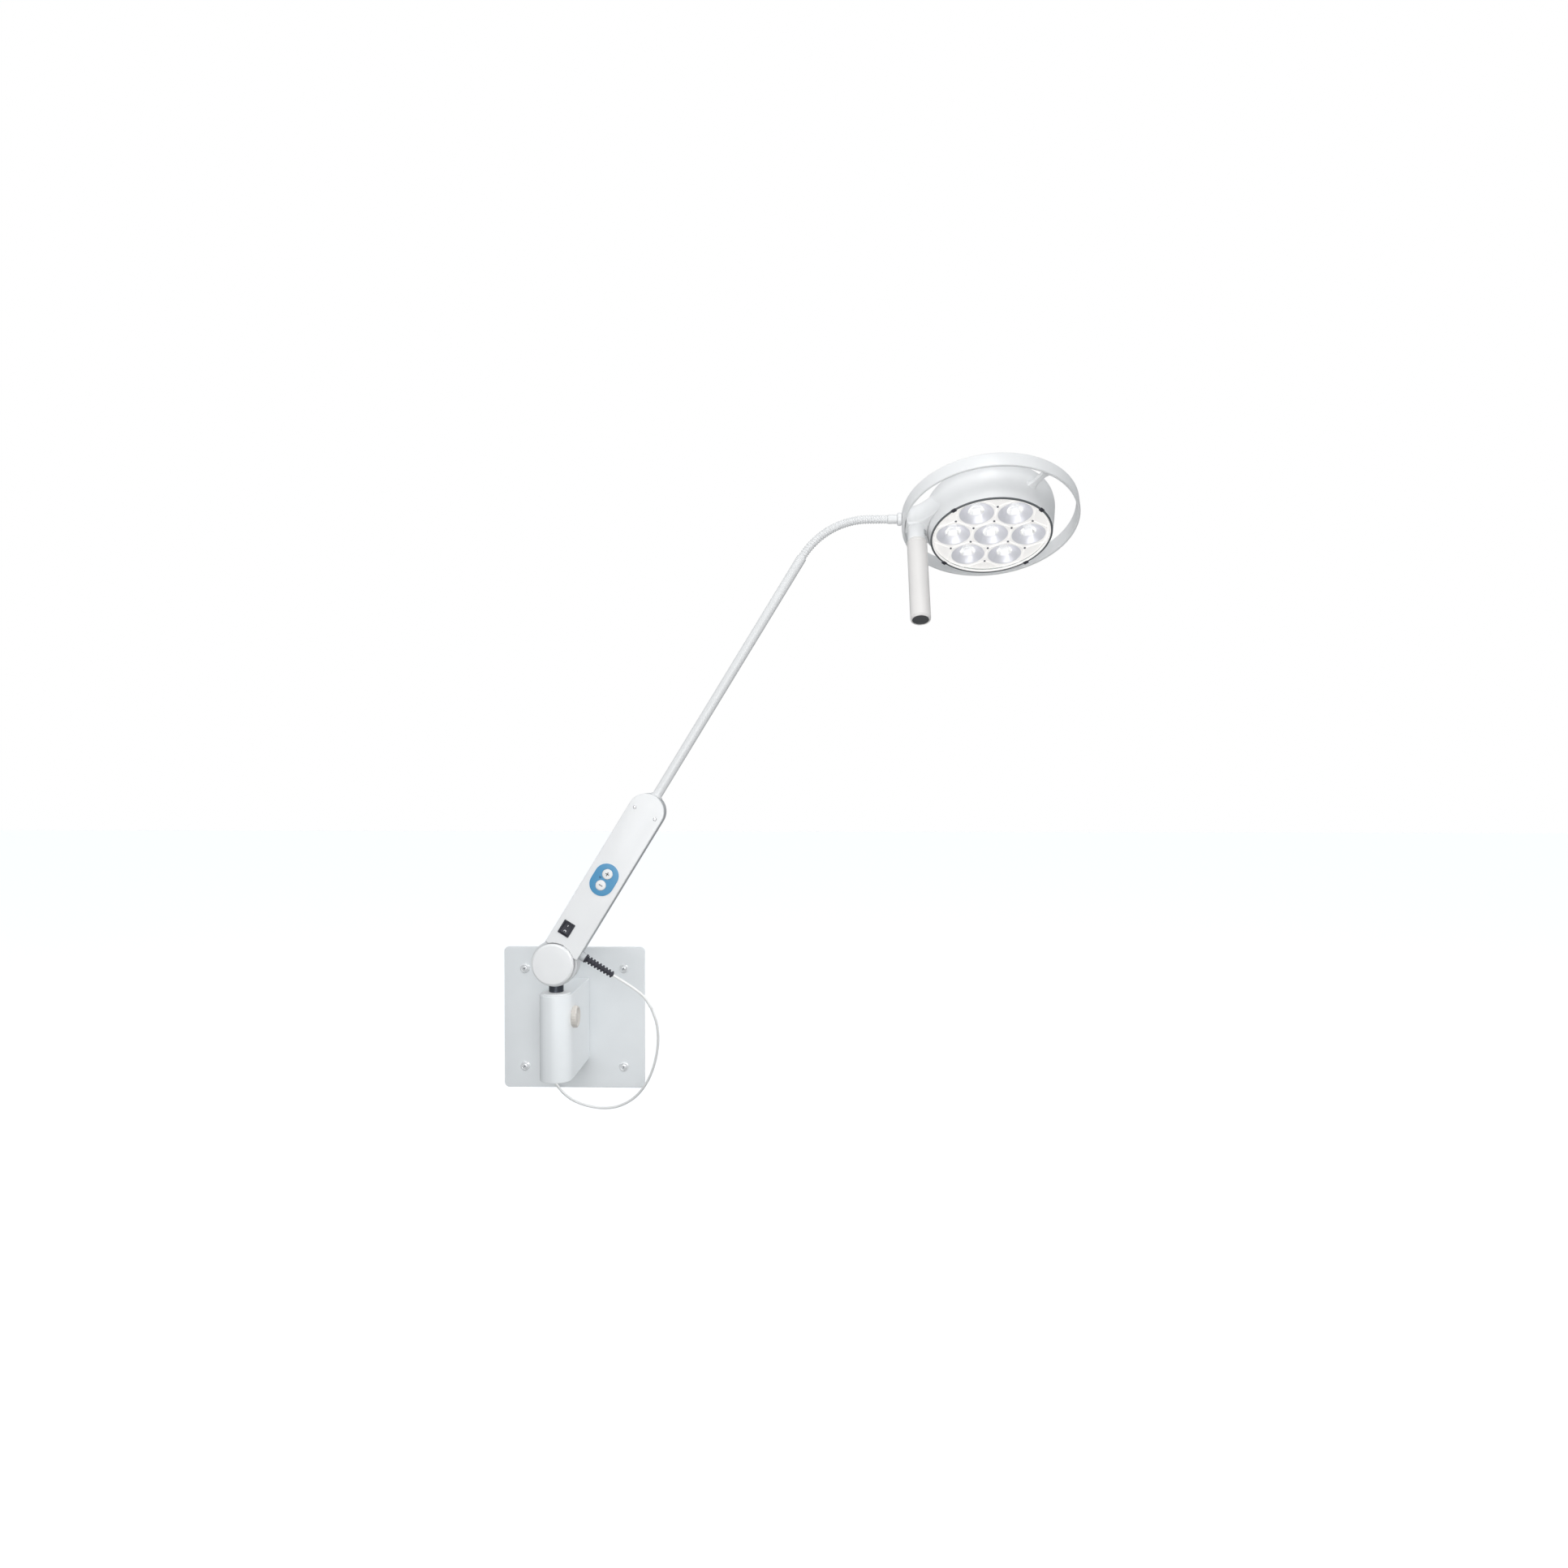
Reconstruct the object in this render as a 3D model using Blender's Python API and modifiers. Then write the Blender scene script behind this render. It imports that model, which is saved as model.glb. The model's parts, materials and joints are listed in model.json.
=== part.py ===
"""Wall-mounted surgical light: wall bracket, swivel, tilting arm, gooseneck and LED head.

Frame: metres, +Z up, +X right along the wall, +Y into the wall. The origin is the centre of the
wall plate's back face. The arm is modelled in an empty on its tilt axis, whose Z runs along the
arm, and the head in an empty on its roll axis, whose -Z is the direction of the light.
"""

import math

import bmesh
import bpy
from mathutils import Matrix, Vector

MM = 0.001
GAP = 0.3 * MM
FRONT = (math.pi / 2, 0, 0)  # turns a piece's own +Z to face away from the wall
RIGHT = (0, math.pi / 2, 0)  # turns a piece's own +Z to +X
UPRIGHT = (0, 0, 0)

# Wall bracket
PLATE_SIDE = 250 * MM
PLATE_THICK = 5 * MM
PLATE_CORNER = 8 * MM
SCREW_X = 88 * MM
SCREW_Z = 87 * MM
WALL_SCREW_R = 3 * MM
WALL_SCREW_HEAD_R = 5 * MM
WALL_SCREW_CUP_R = 8.5 * MM
WALL_SCREW_CUP = 2.6 * MM
WALL_SCREW_RISE = 4 * MM
WALL_SCREW_SOCKET_R = 1.8 * MM
POST_R = 27 * MM
POST_WALL = 4 * MM
POST_BOTTOM = -72 * MM
POST_TOP = 70 * MM
POST_BACK = -PLATE_THICK - GAP
SWIVEL_Y = -136 * MM
BUSH_R = 17 * MM
BUSH_FLANGE_R = 24 * MM
BUSH_BOTTOM = 42 * MM
LOWER_BUSH = (-40 * MM, -16 * MM)
BEARING_R = 21 * MM
PIN_R = 10 * MM
PIN_NECK_R = 12 * MM
PIN_NECK = (73.6 * MM, 95.7 * MM)
PIN_BOTTOM = -48 * MM
GROOVE_R = 9 * MM
GROOVE = (-42.6 * MM, -40 * MM)
CIRCLIP_R = 14 * MM
CIRCLIP = (-42.3 * MM, -40.3 * MM)
CLAMP_Z = 32 * MM
CLAMP_R = 4 * MM
KNOB_R = 18 * MM
KNOB_THICK = 9 * MM
KNOB_BORE = 7 * MM

# Tilt joint
PIVOT = Vector((0, 0, 122 * MM))
DRUM_R = 38 * MM
DRUM_FRONT = -150 * MM
DRUM_BACK = -122 * MM
PIN_SOCKET = (70 * MM, 96 * MM)
BOLT_R = 6 * MM
BOLT_END = -112 * MM
BOLT_HEAD_R = 10 * MM
BOLT_HEAD = 3.2 * MM
SPRING_R = 16 * MM
SPRING_CONE = 1.3 * MM
SPRING_THICK = 1.1 * MM
SPRING_BACK = -120.6 * MM
NUT_R = 11 * MM
NUT = (-119 * MM, -112.6 * MM)
REAR_CAP_R = 21 * MM
REAR_CAP_WALL = 3 * MM
REAR_CAP_END = -105 * MM
WASHER_R = 30 * MM
WASHER_THICK = 1 * MM
HUB_R = 34 * MM
HUB_BACK = -151.6 * MM
HUB_FRONT = -158 * MM
HUB_BAR = (0, 24 * MM)
HUB_BAR_END = 250 * MM
CAP_R = 34.5 * MM
CAP_FRONT = -165 * MM

# Arm, measured along the arm from the tilt axis
ARM_LEAN = math.radians(31.5)
HOUSING_FRONT = -163 * MM
HOUSING_BACK = -129 * MM
HOUSING_SPLIT = -160 * MM
HOUSING_HALF = 30 * MM
HOUSING_FOOT = 24 * MM
HOUSING_START = 40 * MM
HOUSING_END = 322 * MM
HOUSING_WALL = 2.5 * MM
COVER_START = 27 * MM
COVER_ROOM_R = 36.5 * MM
COVER_SCREW_AT = (19 * MM, 290 * MM)
COVER_SCREW_R = 1.5 * MM
COVER_SCREW_HEAD_R = 2.8 * MM
COVER_SCREW_HEAD = 1.1 * MM
COVER_SCREW_END = 150 * MM
SWITCH_AT = (-11 * MM, 63 * MM)
SWITCH_BEZEL = (20 * MM, 24 * MM, 1.2 * MM)
SWITCH_CASE = (17 * MM, 22.4 * MM, 13 * MM)
SWITCH_ROOM = (14 * MM, 20.4 * MM, 10 * MM)
ROCKER_WIDE = 13.2 * MM
ROCKER_Y = -160 * MM
ROCKER_TIP = math.radians(-8)
ROCKER_SHAPE = [(-9, -4.6), (0, -3), (9, -4.6), (9, -0.5), (3, 1.8), (-3, 1.8), (-9, -0.5)]
KEYPAD_AT = 163 * MM
KEYPAD_HALF = (20 * MM, 27.5 * MM)
KEYPAD_THICK = 0.8 * MM
BUTTON_R = 8.5 * MM
BUTTON_STEP = 21 * MM
BUTTON = (160.9 * MM, 164.9 * MM)
DRIVER_BOARD = (46 * MM, 1.6 * MM, 130 * MM)
DRIVER_BOARD_AT = (0, -137 * MM, 150 * MM)
TRANSFORMER = (22 * MM, 11 * MM, 24 * MM)
TRANSFORMER_AT = (-6 * MM, -143 * MM, 120 * MM)
CAPACITOR = (5 * MM, 12 * MM)
CAPACITOR_AT = (8 * MM, -143 * MM, 185 * MM)
CHOKE = (7 * MM, 9 * MM)
CHOKE_AT = (-10 * MM, -142 * MM, 165 * MM)
KEYPAD_BOARD = (34 * MM, 1.2 * MM, 46 * MM)
KEYPAD_BOARD_Y = -159.3 * MM
GLAND_AT = 33.5 * MM
GLAND_START = 29.5 * MM
GLAND_BASE = 38.5 * MM
GLAND_BOSS_R = 7.5 * MM
GLAND_LENGTH = 53.5 * MM
GLAND_RIBS = 9
GLAND_R = (6.6 * MM, 5.6 * MM)
GLAND_GROOVE = 1.6 * MM
TUBE_Y = -145 * MM
TUBE_R = 8 * MM
TUBE_WALL = 1.5 * MM
TUBE_START = 255 * MM
TUBE_END = 776 * MM
SOCKET_R = 12.5 * MM
SOCKET = (252 * MM, 312 * MM)

# Gooseneck, measured along its bent centreline from the tube's end
FLEX_R = 6.75 * MM
FLEX_BEND_R = 127 * MM
FLEX_STRAIGHT = 30 * MM
FLEX_JOINTS = [2 * MM, 40 * MM, 78 * MM, 116 * MM, 152 * MM]
FLEX_GAP = 2 * MM
FLEX_CHAMFER = 2 * MM
FLEX_TAPER = 0.7
FERRULE_R = 7.25 * MM
FERRULE_LENGTH = 15 * MM

# Head, in its own empty: -Z is the direction of the light
HEAD_X = 708 * MM
HEAD_TILT = math.radians(25)
RING_R = 141.5 * MM
RING_THICK = 5 * MM
RING_HEIGHT = 24 * MM
COLLAR_R = 10.5 * MM
YOKE_HALF = 15 * MM
YOKE = (-20 * MM, 17 * MM)
YOKE_WING_DEG = 32
YOKE_GAP = 0.6 * MM
STRUT_ANGLE = math.radians(60)
STRUT_Z = -6 * MM
STRUT = (12 * MM, 6 * MM)
DOME_WALL = 2.5
DOME = [
    (0, 53),
    (28, 52),
    (55, 48.5),
    (78, 42.5),
    (93, 34.5),
    (101, 25),
    (103.5, 12),
    (102.5, 0),
    (99.5, -20),
    (96, -35),
]
HEAT_SINK = [
    (0, 12),
    (20, 12),
    (20, 2),
    (38, 2),
    (38, 12),
    (42, 12),
    (42, 2),
    (60, 2),
    (60, 12),
    (64, 12),
    (64, 2),
    (86, 2),
    (86, -4),
    (0, -4),
]
LED_BOARD_R = 86 * MM
LED_BOARD_Z = -5.1 * MM
BOARD_THICK = 1.6 * MM
LED_PITCH = 60 * MM
WEB_R = 90 * MM
WEB_Z = -31 * MM
CUP_R = (27 * MM, 9 * MM)
CUP_DEPTH = 24 * MM
CUP_Z = -18.4 * MM
LENS_R = 92 * MM
LENS_THICK = 2 * MM
LENS_Z = -34.5 * MM
BEZEL = [(96, -0.8), (96.5, -2.4), (95.5, -3), (91, -3), (90, -0.8)]
BEZEL_TAB = (5.5 * MM, 8 * MM, 2.4 * MM)
BEZEL_TAB_R = 95 * MM
BEZEL_TAB_Z = -36.9 * MM
HANDLE_X = -118.5 * MM
HANDLE_R = 16 * MM
HANDLE_CORE_R = 14.5 * MM
HANDLE_CORE_TOP = -20.3 * MM
SPIGOT_R = 11 * MM
SPIGOT_SHORT = 8 * MM
HANDLE_TOP = -45 * MM
HANDLE_BOTTOM = -190 * MM
HANDLE_CAP_R = 15.4 * MM
HANDLE_CAP_THICK = 2 * MM

# Supply lead: the stretch to the wall, and the rest of it tied up beside the post
LEAD_R = 2.25 * MM
HANK_CENTRE = Vector((-40.5, -26, -9)) * MM
HANK_THICK = 20 * MM
HANK_WIDTH = 32 * MM
HANK_LENGTH = 102 * MM
TIE_BAND = 1.2 * MM
TIE_HEIGHT = 14 * MM
TIE_PAD = 18 * MM
CONNECTOR = [(0, 42), (3, 42), (3, 30), (5.5, 30), (6, 26), (6, 4), (4, 0), (0, 0)]
CONNECTOR_IN_FRONT = 8 * MM
CONNECTOR_DROP = -20 * MM
LEAD_UPPER = [
    (96.5, -145, 102.1),
    (113, -145, 92),
    (130, -144, 80.5),
    (146, -140, 66),
    (157, -133.5, 46),
]
LEAD_LOWER = [
    (157.2, -133.3, 45.6),
    (164, -124, 20),
    (165, -112, -10),
    (160, -99, -42),
    (149, -84, -76),
    (132, -68, -107),
    (110, -53, -131),
    (82, -41, -147),
    (52, -33, -152),
    (22, -29, -148),
    (-4, -27, -137),
    (-24, -26, -118),
    (-37, -25.5, -95),
    (-40.5, -25, -72),
    (-40.5, -25, -60.4),
]

model = None
cutters = None


def start():
    """Removes the scene's objects and makes the two collections."""
    global model, cutters
    for obj in list(bpy.data.objects):
        bpy.data.objects.remove(obj, do_unlink=True)
    model = bpy.data.collections.new("surgical_light")
    cutters = bpy.data.collections.new("cutters")
    bpy.context.scene.collection.children.link(model)
    bpy.context.scene.collection.children.link(cutters)


def material(name, colour, roughness=0.4, metallic=0.0):
    """A Principled material, made once and shared."""
    if name in bpy.data.materials:
        return bpy.data.materials[name]
    made = bpy.data.materials.new(name)
    made.use_nodes = True
    made.diffuse_color = (*colour, 1)
    shader = made.node_tree.nodes["Principled BSDF"]
    shader.inputs["Base Color"].default_value = (*colour, 1)
    shader.inputs["Roughness"].default_value = roughness
    shader.inputs["Metallic"].default_value = metallic
    return made


def white():
    return material("white_paint", (0.86, 0.86, 0.86))


def grey():
    return material("grey_paint", (0.72, 0.74, 0.76))


def steel():
    return material("steel", (0.55, 0.55, 0.56), 0.3, 1.0)


def black():
    return material("black_plastic", (0.03, 0.03, 0.04), 0.5)


def warm():
    return material("handle_plastic", (0.8, 0.79, 0.77), 0.45)


def frame(name, location, rotation):
    """An empty that pieces are parented to."""
    empty = bpy.data.objects.new(name, None)
    model.objects.link(empty)
    empty.location = location
    empty.rotation_euler = rotation
    return empty


def put(name, mesh, finish, at=(0, 0, 0), turn=UPRIGHT, parent=None):
    """Makes the named object of a sub-part."""
    obj = bpy.data.objects.new(name, mesh)
    model.objects.link(obj)
    obj.location = at
    obj.rotation_euler = turn
    obj.parent = parent
    mesh.materials.clear()
    mesh.materials.append(finish)
    return obj


def smooth(obj, angle=35):
    obj.data.shade_smooth()
    obj.data.set_sharp_from_angle(angle=math.radians(angle))
    return obj


def bevel(obj, width, segments=1):
    """Rounds the sharp edges of an object."""
    rounding = obj.modifiers.new("rounding", "BEVEL")
    rounding.width = width
    rounding.segments = segments
    rounding.limit_method = "ANGLE"
    rounding.angle_limit = math.radians(50)
    return obj


def boolean(obj, other, operation):
    step = obj.modifiers.new(other.name, "BOOLEAN")
    step.operation = operation
    step.solver = "EXACT"
    step.object = other


def hide(obj):
    """Moves a cutter or an added shape out of the model's own collection."""
    model.objects.unlink(obj)
    cutters.objects.link(obj)
    obj.hide_render = True
    obj.display_type = "WIRE"
    return obj


def cut(obj, cutter):
    boolean(obj, hide(cutter), "DIFFERENCE")


def join(obj, other):
    boolean(obj, hide(other), "UNION")


def mesh_of(build):
    """A mesh filled by a function of a bmesh."""
    mesh = bpy.data.meshes.new("mesh")
    bm = bmesh.new()
    build(bm)
    bm.to_mesh(mesh)
    bm.free()
    return mesh


def box(name, size, finish, at, turn=UPRIGHT, parent=None):
    def build(bm):
        bmesh.ops.create_cube(bm, size=1)
        bmesh.ops.scale(bm, vec=size, verts=bm.verts)

    return put(name, mesh_of(build), finish, at, turn, parent)


def cylinder(name, radius, depth, finish, at, turn=UPRIGHT, parent=None, sides=24, top=None):
    """A cylinder, or a cone with another radius at its +Z end, about its own Z."""

    def build(bm):
        end = radius if top is None else top
        bmesh.ops.create_cone(
            bm, cap_ends=True, segments=sides, radius1=radius, radius2=end, depth=depth
        )

    return smooth(put(name, mesh_of(build), finish, at, turn, parent))


def turned(name, profile, finish, at, turn=UPRIGHT, parent=None, sides=32, ring=False):
    """A profile of (radius, height) turned about its own Z. It runs down the outer side."""

    def build(bm):
        points = [bm.verts.new((r, 0, z)) for r, z in profile]
        for a, b in zip(points, points[1:]):
            bm.edges.new((a, b))
        if ring:
            bm.edges.new((points[-1], points[0]))

    obj = put(name, mesh_of(build), finish, at, turn, parent)
    lathe = obj.modifiers.new("lathe", "SCREW")
    lathe.steps = sides
    lathe.render_steps = sides
    lathe.use_merge_vertices = True
    lathe.merge_threshold = 0.00001
    lathe.use_smooth_shade = False
    return obj


def arc(centre, radius, start_deg, end_deg, steps):
    """Points along an arc of a flat outline."""
    points = []
    for i in range(steps + 1):
        angle = math.radians(start_deg + (end_deg - start_deg) * i / steps)
        points.append((centre[0] + radius * math.cos(angle), centre[1] + radius * math.sin(angle)))
    return points


def outline(name, points, thick, finish, at, turn=UPRIGHT, parent=None):
    """A flat outline in its own XY plane with a thickness along its Z, as a mesh."""
    curve = bpy.data.curves.new(name, "CURVE")
    curve.dimensions = "2D"
    curve.fill_mode = "BOTH"
    curve.extrude = thick / 2
    spline = curve.splines.new("POLY")
    spline.points.add(len(points) - 1)
    for point, (x, y) in zip(spline.points, points):
        point.co = (x, y, 0, 1)
    spline.use_cyclic_u = True
    return put(name, solid_of(curve), finish, at, turn, parent)


def solid_of(curve):
    """A curve's evaluated shape as a mesh with its caps welded on."""
    guide = bpy.data.objects.new("guide", curve)
    model.objects.link(guide)
    bpy.context.view_layer.update()
    evaluated = guide.evaluated_get(bpy.context.evaluated_depsgraph_get())
    mesh = bpy.data.meshes.new_from_object(evaluated)
    bm = bmesh.new()
    bm.from_mesh(mesh)
    bmesh.ops.remove_doubles(bm, verts=bm.verts, dist=0.00001)
    bmesh.ops.recalc_face_normals(bm, faces=bm.faces)
    bm.to_mesh(mesh)
    bm.free()
    bpy.data.objects.remove(guide, do_unlink=True)
    return mesh


def rounded_square(half, radius, steps=3):
    inner = half - radius
    points = []
    for i, (sx, sy) in enumerate([(1, 1), (-1, 1), (-1, -1), (1, -1)]):
        points += arc((sx * inner, sy * inner), radius, 90 * i, 90 * i + 90, steps)
    return points


def rod(name, points, radius, finish, parent=None, sides=3, taper=None):
    """A bent round bar through the points. taper is the share of the radius at each point."""
    curve = bpy.data.curves.new(name, "CURVE")
    curve.dimensions = "3D"
    curve.bevel_depth = radius
    curve.bevel_resolution = sides
    curve.use_fill_caps = True
    spline = curve.splines.new("POLY")
    spline.points.add(len(points) - 1)
    for i, (point, place) in enumerate(zip(spline.points, points)):
        point.co = (*place, 1)
        point.radius = taper[i] if taper else 1
    return smooth(put(name, solid_of(curve), finish, parent=parent))


def smooth_route(points, step):
    """Evenly spaced points on the Catmull-Rom curve through a route's own points."""
    route = [Vector(p) * MM for p in points]
    route = [2 * route[0] - route[1], *route, 2 * route[-1] - route[-2]]
    dense = []
    for a, b, c, d in zip(route, route[1:], route[2:], route[3:]):
        for i in range(12):
            t = i / 12
            straight = 2 * b + (c - a) * t
            bent = (2 * a - 5 * b + 4 * c - d) * t**2 + (3 * b - a - 3 * c + d) * t**3
            dense.append((straight + bent) / 2)
    dense.append(route[-2])
    along = [0.0]
    for a, b in zip(dense, dense[1:]):
        along.append(along[-1] + (b - a).length)
    count = max(2, round(along[-1] / step))
    found, k = [], 0
    for i in range(count + 1):
        want = along[-1] * i / count
        while k < len(along) - 2 and along[k + 1] < want:
            k += 1
        share = (want - along[k]) / (along[k + 1] - along[k])
        found.append(dense[k].lerp(dense[k + 1], share))
    return found


# ---------------------------------------------------------------- wall bracket


def wall_plate():
    shape = rounded_square(PLATE_SIDE / 2, PLATE_CORNER)
    plate = outline("wall_plate", shape, PLATE_THICK, grey(), (0, -PLATE_THICK / 2, 0), FRONT)
    for x, z in screw_places():
        hole = cylinder("screw_hole", WALL_SCREW_R + GAP, 20 * MM, steel(), (x, 0, z), FRONT, sides=16)
        cut(plate, hole)
    return bevel(plate, 0.8 * MM)


def screw_places():
    return [(sx * SCREW_X, sz * SCREW_Z) for sz in (1, -1) for sx in (-1, 1)]


def wall_screws():
    """Four countersunk-head screws, each with its cup washer, cut off flush with the wall."""
    base = PLATE_THICK + GAP
    profile = [
        (0, base + WALL_SCREW_CUP),
        (WALL_SCREW_SOCKET_R, base + WALL_SCREW_CUP),
        (WALL_SCREW_SOCKET_R, base + WALL_SCREW_RISE),
        (WALL_SCREW_HEAD_R, base + WALL_SCREW_RISE),
        (WALL_SCREW_CUP_R - 1.5 * MM, base + WALL_SCREW_CUP),
        (WALL_SCREW_CUP_R, base + 0.6 * MM),
        (WALL_SCREW_CUP_R, base),
        (WALL_SCREW_R, base),
        (WALL_SCREW_R, 0.5 * MM),
        (0, 0.5 * MM),
    ]
    for i, (x, z) in enumerate(screw_places(), 1):
        turned(f"wall_screw_{i}", profile, steel(), (x, 0, z), FRONT, sides=16)


def post_outline(inset, back):
    """The post's D shape seen from above, with straight sides that run back to the plate."""
    half = POST_R - inset
    front = arc((0, SWIVEL_Y), half, 360, 180, 18)
    return [*front, (-half, back), (half, back)]


def post_shell():
    height = POST_TOP - POST_BOTTOM
    middle = (POST_TOP + POST_BOTTOM) / 2
    post = outline("post_shell", post_outline(0, POST_BACK), height, grey(), (0, 0, middle))
    inner = height - 2 * POST_WALL
    cut(post, outline("post_hollow", post_outline(POST_WALL, 0), inner, grey(), (0, 0, middle)))
    top = (0, SWIVEL_Y, POST_TOP)
    cut(post, cylinder("bush_hole", BUSH_R + GAP, 20 * MM, grey(), top))
    side = (POST_R, SWIVEL_Y, CLAMP_Z)
    cut(post, cylinder("clamp_hole", CLAMP_R + 1.3 * MM, 16 * MM, grey(), side, RIGHT))
    return bevel(post, 1.2 * MM)


def ring_profile(outer, inner, low, high):
    return [(outer, high), (outer, low), (inner, low), (inner, high)]


def swivel_bearing():
    """The tube inside the post, and the two bushes that the pin turns in."""
    axis = (0, SWIVEL_Y, 0)
    bore = PIN_R + GAP
    sleeve = ring_profile(BEARING_R, BUSH_R + GAP, POST_BOTTOM + POST_WALL + GAP, POST_TOP - POST_WALL - GAP)
    tube = turned("bearing_tube", sleeve, steel(), axis, ring=True)
    hole = (BEARING_R, SWIVEL_Y, CLAMP_Z)
    cut(tube, cylinder("clamp_tap", CLAMP_R + GAP, 18 * MM, steel(), hole, RIGHT))
    flange = POST_TOP + GAP
    upper = [
        (BUSH_FLANGE_R - 1 * MM, flange + 2 * MM),
        (BUSH_FLANGE_R, flange + 1 * MM),
        (BUSH_FLANGE_R, flange),
        (BUSH_R, flange),
        (BUSH_R, BUSH_BOTTOM),
        (bore, BUSH_BOTTOM),
        (bore, flange + 3 * MM),
        (15 * MM, flange + 3 * MM),
    ]
    turned("upper_bush", upper, white(), axis, ring=True)
    turned("lower_bush", ring_profile(BUSH_R, bore, *LOWER_BUSH), white(), axis, ring=True)


def clamp():
    """The thumb screw on the post's side that brakes the swivel pin."""
    tip = PIN_R + GAP
    knob_in = POST_R + GAP
    length = knob_in + KNOB_BORE - tip
    at = (tip + length / 2, SWIVEL_Y, CLAMP_Z)
    bevel(cylinder("clamp_screw", CLAMP_R, length, steel(), at, RIGHT), 0.6 * MM)
    edge = 2 * MM
    profile = [
        (0, KNOB_THICK),
        (KNOB_R - edge, KNOB_THICK),
        (KNOB_R, KNOB_THICK - edge),
        (KNOB_R, edge),
        (KNOB_R - edge, 0),
        (CLAMP_R + GAP, 0),
        (CLAMP_R + GAP, KNOB_BORE + GAP),
        (0, KNOB_BORE + GAP),
    ]
    turned("clamp_knob", profile, warm(), (knob_in, SWIVEL_Y, CLAMP_Z), RIGHT)


# ---------------------------------------------------------------- swivel and tilt joint


def swivel_pin():
    """The pin, which ends in a neck under the drum, and the circlip that holds it in the bushes."""
    axis = (0, SWIVEL_Y, 0)
    profile = [
        (0, PIN_NECK[1]),
        (PIN_NECK_R, PIN_NECK[1]),
        (PIN_NECK_R, PIN_NECK[0]),
        (PIN_R, PIN_NECK[0]),
        (PIN_R, GROOVE[1]),
        (GROOVE_R, GROOVE[1]),
        (GROOVE_R, GROOVE[0]),
        (PIN_R, GROOVE[0]),
        (PIN_R, PIN_BOTTOM),
        (0, PIN_BOTTOM),
    ]
    turned("swivel_pin", profile, material("dark_steel", (0.12, 0.12, 0.13), 0.35, 1.0), axis)
    ring = turned("pin_circlip", ring_profile(CIRCLIP_R, GROOVE_R + GAP, *CIRCLIP), steel(), axis, ring=True)
    opening = (-12 * MM, SWIVEL_Y, sum(CIRCLIP) / 2)
    cut(ring, box("clip_gap", (8 * MM, 5 * MM, 6 * MM), steel(), opening))


def on_pivot(y):
    return (PIVOT.x, y, PIVOT.z)


def pivot_drum():
    """The swivel's head. The pin goes up into it, and the arm turns on the bolt through it."""
    middle = on_pivot((DRUM_BACK + DRUM_FRONT) / 2)
    drum = cylinder("pivot_drum", DRUM_R, DRUM_BACK - DRUM_FRONT, white(), middle, FRONT, sides=48)
    bevel(drum, 2 * MM)
    cut(drum, cylinder("bolt_bore", BOLT_R + GAP, 60 * MM, steel(), middle, FRONT))
    low, high = PIN_SOCKET
    socket_at = (0, SWIVEL_Y, (low + high) / 2)
    cut(drum, cylinder("pin_socket", PIN_NECK_R + GAP, high - low, steel(), socket_at))


def pivot_fasteners():
    """The bolt from the front, and the disc spring, nut and cap behind the drum."""
    head_back = -HUB_FRONT + GAP
    bolt = [
        (0, head_back + BOLT_HEAD),
        (BOLT_HEAD_R, head_back + BOLT_HEAD),
        (BOLT_HEAD_R, head_back),
        (BOLT_R, head_back),
        (BOLT_R, -BOLT_END),
        (0, -BOLT_END),
    ]
    turned("pivot_bolt", bolt, steel(), PIVOT, FRONT)
    inner, rim = BOLT_R + GAP, -SPRING_BACK
    spring = [
        (SPRING_R, rim + SPRING_THICK),
        (SPRING_R, rim),
        (inner, rim - SPRING_CONE),
        (inner, rim - SPRING_CONE + SPRING_THICK),
    ]
    turned("disc_spring", spring, steel(), PIVOT, FRONT, ring=True)
    nut_at = on_pivot(sum(NUT) / 2)
    nut = cylinder("pivot_nut", NUT_R, NUT[1] - NUT[0], steel(), nut_at, FRONT, sides=6)
    cut(nut, cylinder("nut_bore", inner, 20 * MM, steel(), nut_at, FRONT))
    back, end = -DRUM_BACK - GAP, -REAR_CAP_END
    cap = [
        (0, end + 2.5 * MM),
        (REAR_CAP_R - REAR_CAP_WALL, end + 2.5 * MM),
        (REAR_CAP_R - REAR_CAP_WALL, back),
        (REAR_CAP_R, back),
        (REAR_CAP_R, end + 2 * MM),
        (REAR_CAP_R - 2 * MM, end),
        (0, end),
    ]
    turned("rear_cap", cap, white(), PIVOT, FRONT)


# ---------------------------------------------------------------- arm


def arm_joint_pieces(arm):
    """The hub that turns on the bolt, its friction washer and its front cap."""
    middle = (0, 0, 0)
    bronze = material("bronze", (0.5, 0.36, 0.2), 0.4, 1.0)
    seat = -DRUM_FRONT + GAP
    washer = ring_profile(WASHER_R, BOLT_R + 1 * MM, seat, seat + WASHER_THICK)
    turned("friction_washer", washer, bronze, middle, FRONT, arm, ring=True)
    left, right = HUB_BAR
    end_deg = 360 + math.degrees(math.acos(right / HUB_R))
    shape = [*arc((0, 0), HUB_R, 90, end_deg, 30), (right, HUB_BAR_END), (left, HUB_BAR_END)]
    hub_at = (0, (HUB_BACK + HUB_FRONT) / 2, 0)
    hub = outline("arm_hub", shape, HUB_BACK - HUB_FRONT, steel(), hub_at, FRONT, arm)
    cut(hub, cylinder("hub_bore", BOLT_R + GAP, 60 * MM, steel(), hub_at, FRONT, arm))
    back, front = -HUB_FRONT + GAP, -CAP_FRONT
    recess_r, recess = 12 * MM, 4 * MM
    cap = [
        (0, front),
        (CAP_R - 3 * MM, front),
        (CAP_R - 0.9 * MM, front - 0.9 * MM),
        (CAP_R, front - 3 * MM),
        (CAP_R, back),
        (recess_r, back),
        (recess_r, back + recess),
        (0, back + recess),
    ]
    turned("pivot_cap", cap, white(), middle, FRONT, arm, sides=40)


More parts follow.
